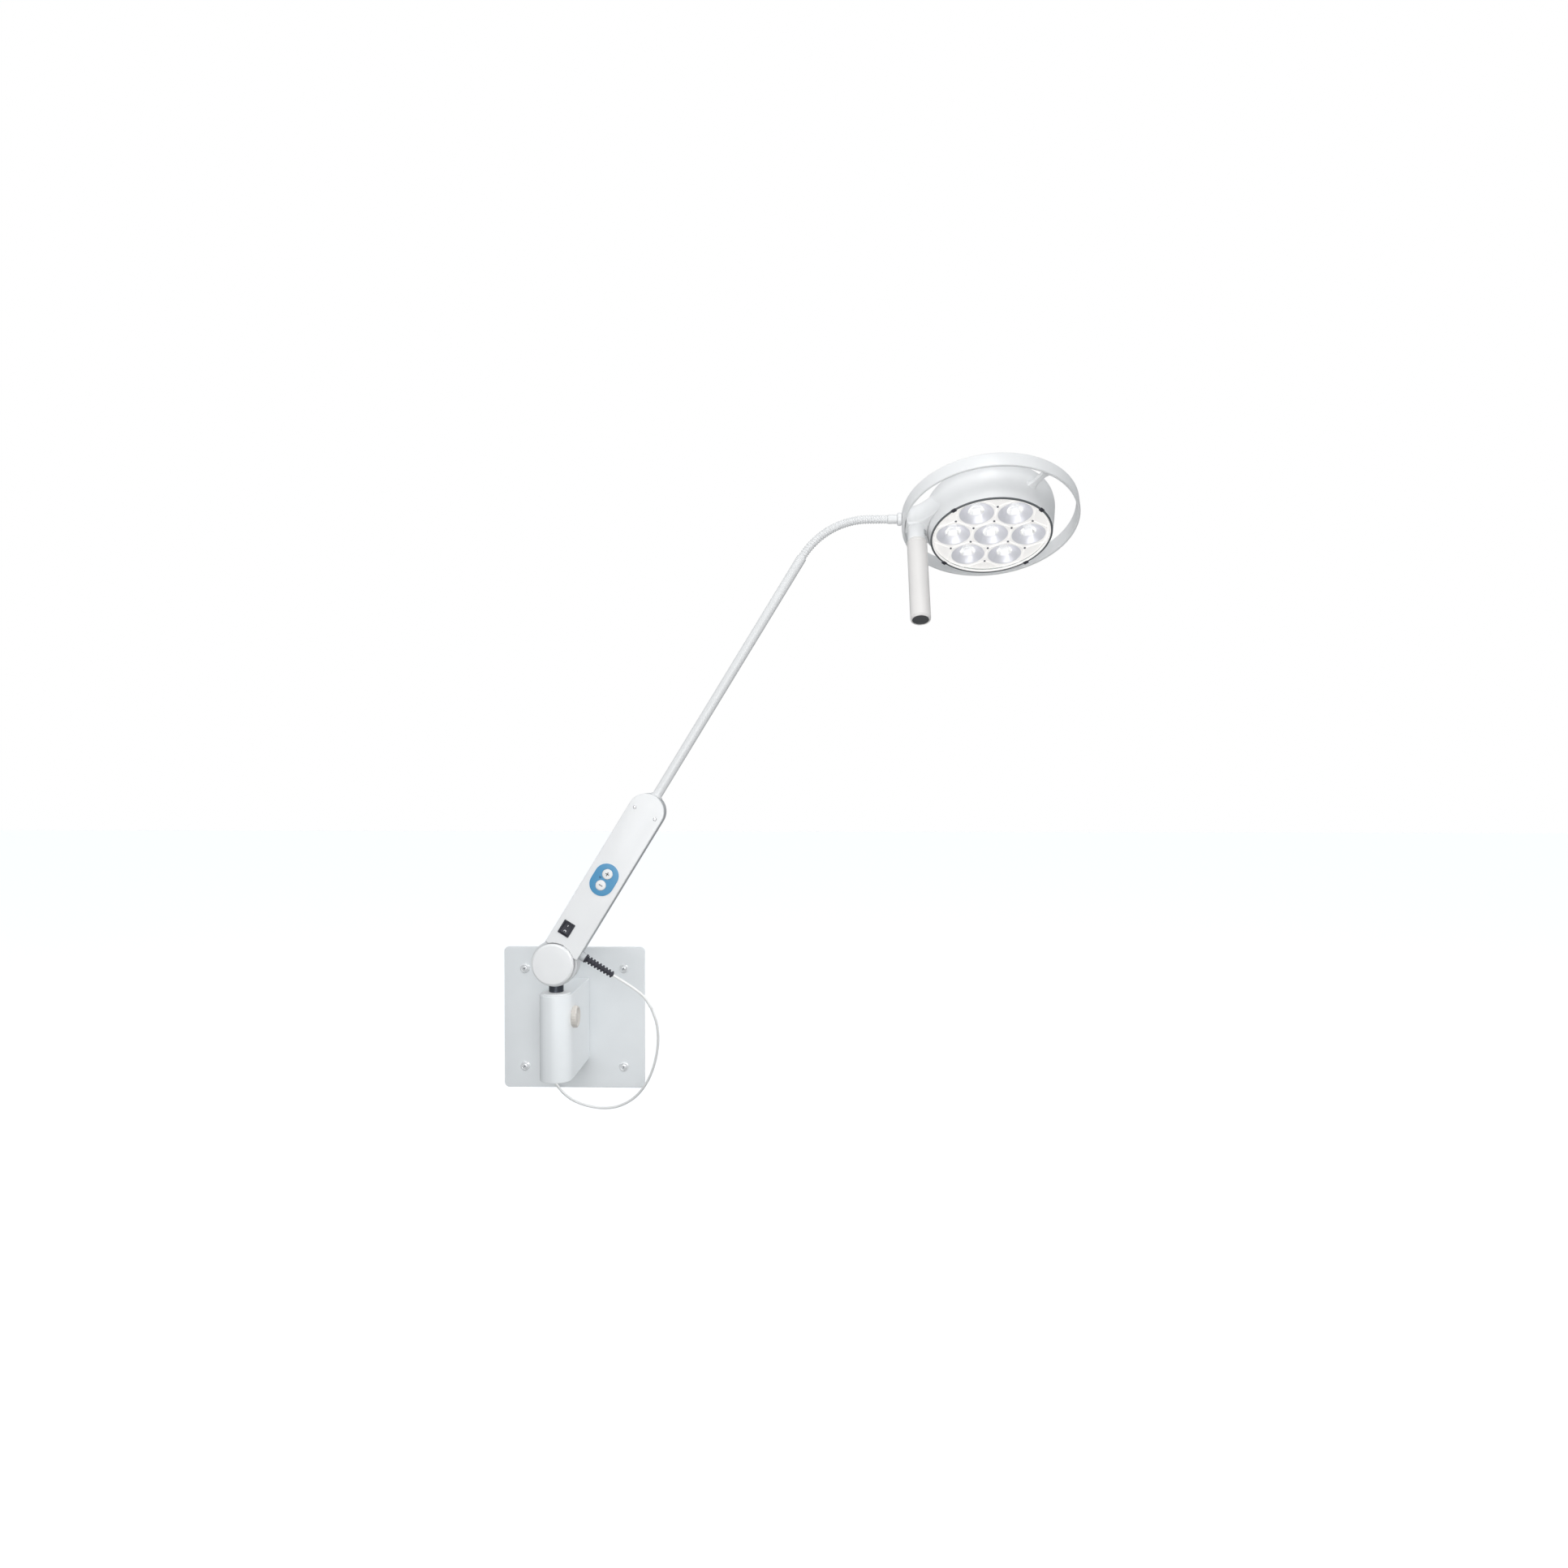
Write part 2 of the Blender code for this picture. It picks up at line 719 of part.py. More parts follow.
def housing_outline(inset, start):
    """The housing seen from the front: straight sides, a round top and a straight lower end."""
    half = HOUSING_HALF - inset
    middle = HOUSING_END - HOUSING_HALF
    return [(-half, start), (half, start), *arc((0, middle), half, 0, 180, 16)]


def housing_rear(arm):
    """The tray. Its foot is hollowed round the pivot drum and carries the lead's gland."""
    front = HOUSING_SPLIT + GAP
    at = (0, (HOUSING_BACK + front) / 2, 0)
    shape = housing_outline(0, HOUSING_FOOT)
    depth = HOUSING_BACK - front
    rear = outline("housing_rear", shape, depth, white(), at, FRONT, arm)
    bevel(rear, 2 * MM)
    inside = housing_outline(HOUSING_WALL, HOUSING_START + 3 * MM)
    inside_at = (0, at[1] - HOUSING_WALL, 0)
    cut(rear, outline("housing_hollow", inside, depth, white(), inside_at, FRONT, arm))
    cut(rear, cylinder("drum_room", DRUM_R + 1 * MM, 60 * MM, white(), at, FRONT, arm, sides=48))
    slot = (HUB_BAR[1] + 1 * MM, HUB_BACK - HUB_FRONT + 2 * GAP, 30 * MM)
    slot_at = (sum(HUB_BAR) / 2, (HUB_BACK + HUB_FRONT) / 2, HOUSING_START)
    cut(rear, box("hub_slot", slot, white(), slot_at, parent=arm))
    top = (0, TUBE_Y, HOUSING_END)
    cut(rear, cylinder("tube_hole", TUBE_R + GAP, 20 * MM, white(), top, parent=arm))
    boss_at = ((GLAND_START + GLAND_BASE) / 2, TUBE_Y, GLAND_AT)
    boss_length = GLAND_BASE - GLAND_START
    join(rear, cylinder("gland_boss", GLAND_BOSS_R, boss_length, white(), boss_at, RIGHT, arm))


def housing_cover(arm):
    """The front cover, cut round the pivot cap, with openings for the buttons, switch and screws."""
    thick = HOUSING_SPLIT - HOUSING_FRONT
    middle = (HOUSING_SPLIT + HOUSING_FRONT) / 2
    shape = housing_outline(0, COVER_START)
    at = (0, middle, 0)
    cover = outline("housing_cover", shape, thick, white(), at, FRONT, arm)
    bevel(cover, 1.2 * MM)
    through = 20 * MM
    cut(cover, cylinder("cap_room", COVER_ROOM_R, through, white(), at, FRONT, arm, sides=48))
    for z in button_places():
        key = cylinder("button_hole", BUTTON_R + GAP, through, white(), (0, middle, z), FRONT, arm)
        cut(cover, key)
    wide, high, _ = SWITCH_CASE
    opening = (wide + 2 * GAP, through, high + 2 * GAP)
    cut(cover, box("switch_hole", opening, white(), (SWITCH_AT[0], middle, SWITCH_AT[1]), parent=arm))
    for x, z in cover_screw_places():
        hole = cylinder("cover_hole", COVER_SCREW_R + GAP, through, white(), (x, middle, z), FRONT, arm)
        cut(cover, hole)


def cover_screw_places():
    x, z = COVER_SCREW_AT
    return [(-x, z), (x, z)]


def cover_screws(arm):
    seat = -HOUSING_FRONT + GAP
    profile = [
        (0, seat + COVER_SCREW_HEAD),
        (COVER_SCREW_HEAD_R - 1 * MM, seat + COVER_SCREW_HEAD),
        (COVER_SCREW_HEAD_R, seat),
        (COVER_SCREW_R, seat),
        (COVER_SCREW_R, COVER_SCREW_END),
        (0, COVER_SCREW_END),
    ]
    for i, (x, z) in enumerate(cover_screw_places(), 1):
        turned(f"cover_screw_{i}", profile, steel(), (x, 0, z), FRONT, arm, sides=16)


def arm_tube(arm):
    """The tube and the socket that clamps it inside the housing."""
    axis = (0, TUBE_Y, 0)
    tube = ring_profile(TUBE_R, TUBE_R - TUBE_WALL, TUBE_START, TUBE_END)
    turned("arm_tube", tube, white(), axis, parent=arm, ring=True)
    socket = ring_profile(SOCKET_R, TUBE_R + GAP, *SOCKET)
    turned("tube_socket", socket, steel(), axis, parent=arm, ring=True)


def boards(arm):
    """The LED driver board with its three large parts, and the keypad's own board."""
    green = material("board_green", (0.05, 0.25, 0.12), 0.5)
    board = box("driver_board", DRIVER_BOARD, green, DRIVER_BOARD_AT, parent=arm)
    join(board, box("transformer", TRANSFORMER, black(), TRANSFORMER_AT, parent=arm))
    join(board, cylinder("capacitor", *CAPACITOR, black(), CAPACITOR_AT, FRONT, arm))
    join(board, cylinder("choke", *CHOKE, black(), CHOKE_AT, FRONT, arm))
    box("keypad_board", KEYPAD_BOARD, green, (0, KEYPAD_BOARD_Y, KEYPAD_AT), parent=arm)


def button_places():
    return [KEYPAD_AT + side * BUTTON_STEP / 2 for side in (1, -1)]


def stadium(half_width, half_length, steps=16):
    straight = half_length - half_width
    top = arc((0, straight), half_width, 0, 180, steps)
    return [*top, *arc((0, -straight), half_width, 180, 360, steps)]


def keypad(arm):
    """The blue plate on the cover, and the two buttons that come through it."""
    blue = material("keypad_blue", (0.08, 0.35, 0.62), 0.4)
    y = HOUSING_FRONT - GAP - KEYPAD_THICK / 2
    plate = outline("keypad_plate", stadium(*KEYPAD_HALF), KEYPAD_THICK, blue, (0, y, KEYPAD_AT), FRONT, arm)
    for z in button_places():
        cut(plate, cylinder("key_hole", BUTTON_R + GAP, 9 * MM, blue, (0, y, z), FRONT, arm))
    back, front = BUTTON
    profile = [
        (0, front),
        (BUTTON_R - 1 * MM, front),
        (BUTTON_R, front - 0.6 * MM),
        (BUTTON_R, back),
        (0, back),
    ]
    for name, z in zip(("plus_button", "minus_button"), button_places()):
        turned(name, profile, white(), (0, 0, z), FRONT, arm)


def switch(arm):
    """The appliance switch: a hollow case with a bezel, and the rocker tipped to one side."""
    x, z = SWITCH_AT
    wide, high, thick = SWITCH_BEZEL
    back = HOUSING_FRONT - GAP
    body = box("switch_body", (wide, thick, high), black(), (x, back - thick / 2, z), parent=arm)
    case_wide, case_high, deep = SWITCH_CASE
    case_at = (x, back + deep / 2 - 0.1 * MM, z)
    join(body, box("switch_case", (case_wide, deep, case_high), black(), case_at, parent=arm))
    room_wide, room_high, room_deep = SWITCH_ROOM
    room_at = (x, HOUSING_FRONT + 1 * MM, z)
    cut(body, box("rocker_room", (room_wide, room_deep, room_high), black(), room_at, parent=arm))
    axis = frame("rocker_axis", (x, ROCKER_Y, z), (ROCKER_TIP, 0, 0))
    axis.parent = arm
    shape = [(y * MM, along * MM) for along, y in ROCKER_SHAPE]
    across = Matrix(((0, 0, 1), (1, 0, 0), (0, 1, 0))).to_euler()
    outline("switch_rocker", shape, ROCKER_WIDE, black(), (0, 0, 0), across, axis)


def strain_relief(arm):
    """A ribbed sleeve that tapers away from the housing."""
    base, tip = GLAND_R
    pitch = GLAND_LENGTH / GLAND_RIBS
    profile = [(0, GLAND_LENGTH)]
    for i in range(GLAND_RIBS, 0, -1):
        outer = base + (tip - base) * i / GLAND_RIBS
        inner = outer - GLAND_GROOVE
        high = pitch * i
        low = high - 0.95 * pitch if i > 1 else 0
        profile += [(outer, high), (outer, high - 0.6 * pitch), (inner, high - 0.65 * pitch), (inner, low)]
    profile.append((0, 0))
    at = (GLAND_BASE + GAP, TUBE_Y, GLAND_AT)
    turned("strain_relief", profile, black(), at, RIGHT, arm, sides=12)


# ---------------------------------------------------------------- gooseneck


def flex_point(s):
    """The gooseneck's centreline in world space: a bend down to level, then a straight end."""
    tube_dir = Vector((math.sin(ARM_LEAN), 0, math.cos(ARM_LEAN)))
    start_at = PIVOT + tube_dir * TUBE_END + Vector((0, TUBE_Y, 0))
    side = Vector((math.cos(ARM_LEAN), 0, -math.sin(ARM_LEAN)))
    centre = start_at + side * FLEX_BEND_R
    bend = math.pi / 2 - ARM_LEAN
    turn = min(s / FLEX_BEND_R, bend)
    out = ARM_LEAN + turn
    point = centre + FLEX_BEND_R * Vector((-math.cos(out), 0, math.sin(out)))
    return point + Vector((max(0, s - bend * FLEX_BEND_R), 0, 0))


def flex_length():
    return FLEX_BEND_R * (math.pi / 2 - ARM_LEAN) + FLEX_STRAIGHT


def gooseneck():
    """Short rigid lengths of the flexible arm, with a bending gap between each two."""
    pale = white()
    starts = [s + FLEX_GAP / 2 for s in FLEX_JOINTS]
    ends = [*(s - FLEX_GAP / 2 for s in FLEX_JOINTS[1:]), flex_length()]
    names = ["flex_1", "flex_2", "flex_3", "flex_4", "flex_end"]
    for name, low, high in zip(names, starts, ends):
        steps = max(2, round((high - low) / (5 * MM)))
        full = high - low - 2 * FLEX_CHAMFER
        inner = [low + FLEX_CHAMFER + full * i / steps for i in range(steps + 1)]
        stations = [low, *inner, high]
        taper = [FLEX_TAPER, *[1] * len(inner), FLEX_TAPER]
        rod(name, [flex_point(s) for s in stations], FLEX_R, pale, taper=taper)
    at = flex_point(flex_length()) + Vector((GAP, 0, 0))
    profile = [
        (0, FERRULE_LENGTH),
        (FERRULE_R - 0.25 * MM, FERRULE_LENGTH),
        (FERRULE_R, FERRULE_LENGTH - 1 * MM),
        (FERRULE_R, 1 * MM),
        (FERRULE_R - 0.75 * MM, 0),
        (0, 0),
    ]
    turned("ferrule", profile, pale, at, RIGHT, sides=28)


# ---------------------------------------------------------------- head


def head_z():
    return flex_point(flex_length()).z


def head_neck(head):
    """The collar outside the ring, and the yoke inside it that carries the handle and dome."""
    start_x = flex_point(flex_length()).x + GAP + FERRULE_LENGTH + GAP - HEAD_X
    length = -RING_R - GAP - start_x
    profile = [
        (0, length),
        (COLLAR_R - 1 * MM, length),
        (COLLAR_R, length - 1 * MM),
        (COLLAR_R, 1.5 * MM),
        (COLLAR_R - 1.5 * MM, 0),
        (0, 0),
    ]
    turned("neck_collar", profile, white(), (start_x, 0, 0), RIGHT, head)
    left = -math.sqrt((RING_R - RING_THICK - GAP) ** 2 - YOKE_HALF**2)
    near, (low, high) = dome_radius(12 * MM) + YOKE_GAP, YOKE
    dome_side = arc((0, 0), near, 180 + YOKE_WING_DEG, 180 - YOKE_WING_DEG, 12)
    shape = [(HANDLE_X, YOKE_HALF + 1 * MM), (left, YOKE_HALF), (left, -YOKE_HALF)]
    shape += [(HANDLE_X, -YOKE_HALF - 1 * MM), *dome_side]
    yoke = outline("yoke_block", shape, high - low, white(), (0, 0, (low + high) / 2), parent=head)
    bevel(yoke, 4 * MM, 2)


def grip_ring(head):
    """The flat ring round the head, and the two struts that hold it on the side away from the arm."""
    inner, half = RING_R - RING_THICK, RING_HEIGHT / 2
    soft = 2 * MM
    profile = [
        (RING_R - soft, half),
        (RING_R, half - soft),
        (RING_R, -half + soft),
        (RING_R - soft, -half),
        (inner + soft, -half),
        (inner, -half + soft),
        (inner, half - soft),
        (inner + soft, half),
    ]
    turned("grip_ring", profile, white(), (0, 0, 0), parent=head, sides=60, ring=True)
    outer = inner - GAP
    start_r = dome_radius(STRUT_Z + STRUT[1] / 2) + 0.8 * MM
    middle = (outer + start_r) / 2
    size = (outer - start_r - 0.4 * MM, *STRUT)
    for i, angle in enumerate((STRUT_ANGLE, -STRUT_ANGLE), 1):
        at = (middle * math.cos(angle), middle * math.sin(angle), STRUT_Z)
        bevel(box(f"strut_{i}", size, white(), at, (0, 0, angle), head), 2 * MM, 2)


def dome_radius(z):
    """The dome's outer radius at a height below its widest place."""
    points = [(r * MM, h * MM) for r, h in DOME]
    for (r1, z1), (r2, z2) in zip(points, points[1:]):
        if z2 <= z <= z1:
            return r1 + (r2 - r1) * (z - z1) / (z2 - z1)
    return points[-1][0]


def dome_shell(head):
    outer = [(r * MM, z * MM) for r, z in DOME]
    inner = [(max(0, r - DOME_WALL) * MM, (z - DOME_WALL * (z > 12)) * MM) for r, z in DOME]
    inner = [(r, z) for r, z in inner if r > 0][::2]
    profile = [*outer, *reversed(inner), (0, (DOME[0][1] - DOME_WALL) * MM)]
    turned("dome_shell", profile, white(), (0, 0, 0), parent=head, sides=48)


def light_engine(head):
    """Heat sink, LED board, moulded lenses, clear cover and bezel, from the inside out."""
    middle = (0, 0, 0)
    metal = material("aluminium", (0.7, 0.7, 0.71), 0.35, 1.0)
    turned("heat_sink", [(r * MM, z * MM) for r, z in HEAT_SINK], metal, middle, parent=head, sides=24)
    board_at = (0, 0, LED_BOARD_Z)
    cylinder("led_board", LED_BOARD_R, BOARD_THICK, white(), board_at, parent=head, sides=32)
    clear = material("clear_lens", (0.9, 0.9, 0.88), 0.08)
    web = cylinder("lens_array", WEB_R, BOARD_THICK, clear, (0, 0, WEB_Z), parent=head, sides=32)
    wide, narrow = CUP_R
    for x, y in led_places():
        at = (x, y, CUP_Z)
        join(web, cylinder("lens_cup", wide, CUP_DEPTH, clear, at, parent=head, sides=16, top=narrow))
    cover_at = (0, 0, LENS_Z + LENS_THICK / 2)
    cylinder("lens_cover", LENS_R, LENS_THICK, clear, cover_at, parent=head, sides=48)
    dark = material("bezel_grey", (0.12, 0.13, 0.14), 0.4)
    profile = [(r * MM, LENS_Z + z * MM) for r, z in BEZEL]
    bezel = turned("lens_bezel", profile, dark, middle, parent=head, sides=48, ring=True)
    for i in range(4):
        angle = math.radians(45 + 90 * i)
        at = (BEZEL_TAB_R * math.cos(angle), BEZEL_TAB_R * math.sin(angle), BEZEL_TAB_Z)
        join(bezel, box("bezel_tab", BEZEL_TAB, dark, at, (0, 0, angle), head))


def led_places():
    """The middle lens and the six round it."""
    angles = [math.pi / 3 * i for i in range(6)]
    return [(0, 0), *((LED_PITCH * math.cos(a), LED_PITCH * math.sin(a)) for a in angles)]


def handle(head):
    """The fixed core, and the sleeve that pulls off it for sterilising."""
    at = (HANDLE_X, 0, 0)
    end = HANDLE_BOTTOM + SPIGOT_SHORT
    core = [
        (0, HANDLE_CORE_TOP),
        (HANDLE_CORE_R, HANDLE_CORE_TOP),
        (HANDLE_CORE_R, HANDLE_TOP),
        (SPIGOT_R, HANDLE_TOP),
        (SPIGOT_R, end + 4 * MM),
        (SPIGOT_R - 2 * MM, end),
        (0, end),
    ]
    turned("handle_core", core, white(), at, parent=head, sides=28)
    bore, top = SPIGOT_R + GAP, HANDLE_TOP - GAP
    sleeve = [
        (HANDLE_R - 1 * MM, top),
        (HANDLE_R, top - 1 * MM),
        (HANDLE_R, HANDLE_BOTTOM),
        (bore, HANDLE_BOTTOM),
        (bore, top),
    ]
    turned("handle_sleeve", sleeve, warm(), at, parent=head, ring=True)
    cap_at = (HANDLE_X, 0, HANDLE_BOTTOM - GAP - HANDLE_CAP_THICK / 2)
    cap = cylinder("handle_end_cap", HANDLE_CAP_R, HANDLE_CAP_THICK, black(), cap_at, parent=head, sides=32)
    bevel(cap, 0.5 * MM)


# ---------------------------------------------------------------- supply lead


def supply_lead():
    """The lead's two free stretches, and its tied-up rest with the connector beside the post."""
    pale = material("lead_white", (0.85, 0.85, 0.85), 0.5)
    rod("lead_upper", smooth_route(LEAD_UPPER, 11 * MM), LEAD_R, pale, sides=2)
    rod("lead_lower", smooth_route(LEAD_LOWER, 12 * MM), LEAD_R, pale, sides=2)
    half_width, half_length = HANK_WIDTH / 2, HANK_LENGTH / 2
    facing = (math.pi / 2, 0, math.pi / 2)
    shape = stadium(half_width, half_length, 8)
    outline("lead_hank", shape, HANK_THICK, pale, HANK_CENTRE, facing)
    hank_tie(half_width)
    at = HANK_CENTRE + Vector((0, -half_width - GAP - CONNECTOR_IN_FRONT, CONNECTOR_DROP))
    turned("lead_connector", [(r * MM, z * MM) for r, z in CONNECTOR], black(), at, sides=20)


def hank_tie(half_width):
    """A hook-and-loop band round the hank, on a pad that sticks to the wall plate."""
    inner = (HANK_THICK + 2 * GAP, HANK_WIDTH + 2 * GAP, 40 * MM)
    outer = (inner[0] + 2 * TIE_BAND, inner[1] + 2 * TIE_BAND, TIE_HEIGHT)
    tie = box("hank_tie", outer, black(), HANK_CENTRE)
    wall = -PLATE_THICK - GAP
    deep = wall - (HANK_CENTRE.y + half_width + GAP)
    pad_at = (HANK_CENTRE.x, wall - deep / 2, HANK_CENTRE.z)
    join(tie, box("tie_pad", (TIE_PAD, deep, TIE_HEIGHT), black(), pad_at))
    cut(tie, box("hank_room", inner, black(), HANK_CENTRE))


def build():
    start()
    wall_plate()
    wall_screws()
    post_shell()
    swivel_bearing()
    clamp()
    swivel_pin()
    pivot_drum()
    pivot_fasteners()
    arm = frame("arm_axis", PIVOT, (0, ARM_LEAN, 0))
    arm_joint_pieces(arm)
    housing_rear(arm)
    housing_cover(arm)
    cover_screws(arm)
    arm_tube(arm)
    boards(arm)
    keypad(arm)
    switch(arm)
    strain_relief(arm)
    gooseneck()
    head = frame("head_axis", (HEAD_X, TUBE_Y, head_z()), (-HEAD_TILT, 0, 0))
    head_neck(head)
    grip_ring(head)
    dome_shell(head)
    light_engine(head)
    handle(head)
    supply_lead()


build()
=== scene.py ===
import json
import math

import bmesh
import bpy
from mathutils import Matrix, Vector


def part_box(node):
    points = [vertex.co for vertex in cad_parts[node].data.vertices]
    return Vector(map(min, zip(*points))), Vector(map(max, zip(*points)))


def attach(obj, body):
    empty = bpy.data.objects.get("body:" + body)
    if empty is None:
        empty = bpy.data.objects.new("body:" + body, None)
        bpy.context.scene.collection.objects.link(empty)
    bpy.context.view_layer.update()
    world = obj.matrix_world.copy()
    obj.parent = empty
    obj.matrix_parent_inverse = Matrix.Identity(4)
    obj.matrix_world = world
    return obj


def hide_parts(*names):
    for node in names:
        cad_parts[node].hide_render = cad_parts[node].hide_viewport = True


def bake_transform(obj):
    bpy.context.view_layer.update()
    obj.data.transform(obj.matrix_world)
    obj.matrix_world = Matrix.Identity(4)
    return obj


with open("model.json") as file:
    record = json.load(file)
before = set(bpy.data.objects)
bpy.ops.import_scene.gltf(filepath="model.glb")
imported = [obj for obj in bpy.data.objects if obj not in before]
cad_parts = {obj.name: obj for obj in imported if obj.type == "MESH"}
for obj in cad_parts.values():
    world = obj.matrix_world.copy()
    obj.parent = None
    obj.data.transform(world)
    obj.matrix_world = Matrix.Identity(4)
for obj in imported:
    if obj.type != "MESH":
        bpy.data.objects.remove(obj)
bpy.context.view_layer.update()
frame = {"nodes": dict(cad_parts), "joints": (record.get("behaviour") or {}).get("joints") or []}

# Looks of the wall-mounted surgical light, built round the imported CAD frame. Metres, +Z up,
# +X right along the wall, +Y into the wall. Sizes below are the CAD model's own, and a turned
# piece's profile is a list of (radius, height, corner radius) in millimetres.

MM = 0.001
GAP = 0.3 * MM
BOX = {name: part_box(name) for name in frame["nodes"]}
JOINT = {joint["name"]: joint for joint in frame["joints"]}

# Places worked out from the frame
TILT = Vector(JOINT["arm_tilt"]["pos_m"])
SWIVEL = Vector(JOINT["swivel"]["pos_m"])
PIVOT = Vector((TILT.x, 0, TILT.z))
TUBE_Y = TILT.y
ARM_LEAN = math.radians(31.5)
HEAD_TILT = math.radians(25)
HEAD_CENTRE = sum(BOX["lens_cover"], Vector()) / 2
FRONT = Matrix.Rotation(math.pi / 2, 4, "X")
RIGHT = Matrix.Rotation(math.pi / 2, 4, "Y")
ARM = Matrix.Translation(PIVOT) @ Matrix.Rotation(ARM_LEAN, 4, "Y")
LENS_DEPTH = 33.5 * MM
LIGHT_DIRECTION = Vector((0, -math.sin(HEAD_TILT), -math.cos(HEAD_TILT)))
HEAD_AT = HEAD_CENTRE - LIGHT_DIRECTION * LENS_DEPTH
HEAD = Matrix.Translation(HEAD_AT) @ Matrix.Rotation(-HEAD_TILT, 4, "X")


# --- camera and light

CAMERA_AT = (0.4264, -1.8746, 0.4399)
CAMERA_TURN_DEG = (89.21, 0, 1.66)
CAMERA_LENS_MM = 24.41
SENSOR_MM = 36
ROOM_LOW = 0.32
ROOM_HIGH = 0.62
FLOOR_Z = -0.55
FLOOR_HALF = 15


def placed(name, data, at):
    made = bpy.data.objects.new(name, data)
    bpy.context.scene.collection.objects.link(made)
    made.location = at
    return made


def camera():
    """The main viewpoint: nearly level, in front of the middle of the arm."""
    data = bpy.data.cameras.new("camera")
    data.sensor_width = SENSOR_MM
    data.lens = CAMERA_LENS_MM
    data.clip_end = 50
    made = placed("camera", data, CAMERA_AT)
    made.rotation_euler = [math.radians(turn) for turn in CAMERA_TURN_DEG]
    bpy.context.scene.camera = made


def aimed(name, data, at, aim, power):
    data.energy = power
    made = placed(name, data, at)
    made.rotation_euler = (Vector(aim) - Vector(at)).to_track_quat("-Z", "Y").to_euler()


def area_light(name, at, aim, size, power):
    data = bpy.data.lights.new(name, "AREA")
    data.shape = "DISK"
    data.size = size
    aimed(name, data, at, aim, power)


def spot_light(name, at, aim, cone_deg, power):
    """A soft narrow lamp without shadows, to lift one dark side."""
    data = bpy.data.lights.new(name, "SPOT")
    data.use_shadow = False
    data.spot_size = math.radians(cone_deg)
    data.spot_blend = 1
    data.shadow_soft_size = 0.2
    aimed(name, data, at, aim, power)


def studio():
    """A pale floor in a white room whose light is weaker below, a large key light overhead, a
    fill in front and two narrow lamps. The floor has a lamp of its own."""
    bpy.context.scene.view_settings.view_transform = "Standard"
    world = bpy.data.worlds.new("studio")
    world.use_nodes = True
    bpy.context.scene.world = world
    tree = world.node_tree
    room = tree.nodes["Background"]
    room.inputs["Color"].default_value = (0.95, 0.98, 1.0, 1)
    place = tree.nodes.new("ShaderNodeTexCoord")
    axes = tree.nodes.new("ShaderNodeSeparateXYZ")
    tree.links.new(place.outputs["Generated"], axes.inputs["Vector"])
    height = tree.nodes.new("ShaderNodeMapRange")
    height.inputs["From Min"].default_value = -0.35
    height.inputs["From Max"].default_value = 0.55
    height.inputs["To Min"].default_value = ROOM_LOW
    height.inputs["To Max"].default_value = ROOM_HIGH
    tree.links.new(axes.outputs["Z"], height.inputs["Value"])
    tree.links.new(height.outputs["Result"], room.inputs["Strength"])
    backdrop = tree.nodes.new("ShaderNodeBackground")
    backdrop.inputs["Color"].default_value = (1, 1, 1, 1)
    path = tree.nodes.new("ShaderNodeLightPath")
    mix = tree.nodes.new("ShaderNodeMixShader")
    tree.links.new(path.outputs["Is Camera Ray"], mix.inputs["Fac"])
    tree.links.new(room.outputs["Background"], mix.inputs[1])
    tree.links.new(backdrop.outputs["Background"], mix.inputs[2])
    tree.links.new(mix.outputs["Shader"], tree.nodes["World Output"].inputs["Surface"])
    area_light("key", (0.35, -2.5, 3.6), (0.35, -0.15, 0.35), 2.0, 34)
    area_light("fill", (0.3, -2.05, 0.4), (0.45, -0.15, 0.5), 1.2, 15)
    spot_light("side", (1.9, -0.45, 1.3), (0.02, -0.1, -0.04), 9, 190)
    spot_light("low", (-0.3, -1.25, 0.15), (0.70, -0.15, 0.84), 19, 26)

    mesh = bpy.data.meshes.new("floor")
    bm = bmesh.new()
    bmesh.ops.create_grid(bm, x_segments=1, y_segments=1, size=FLOOR_HALF)
    bm.to_mesh(mesh)
    bm.free()
    floor = placed("floor", mesh, (0, 0, FLOOR_Z))
    floor.visible_diffuse = False
    floor.visible_glossy = False
    paint(floor, grained("studio_floor", (0.95, 0.965, 0.99), 0.9, grain=4 * MM, bump=0.02, mottle=0.004))
    only_floor = bpy.data.collections.new("floor_only")
    only_floor.objects.link(floor)
    data = bpy.data.lights.new("floor_wash", "SUN")
    data.energy = 1.5
    data.use_shadow = False
    wash = placed("floor_wash", data, (0, 0, 0))
    wash.light_linking.receiver_collection = only_floor


# --- materials


DRIFT_SIZE = 45 * MM
GLOSS_SPREAD = 0.06
COAT_ROUGHNESS = 0.12


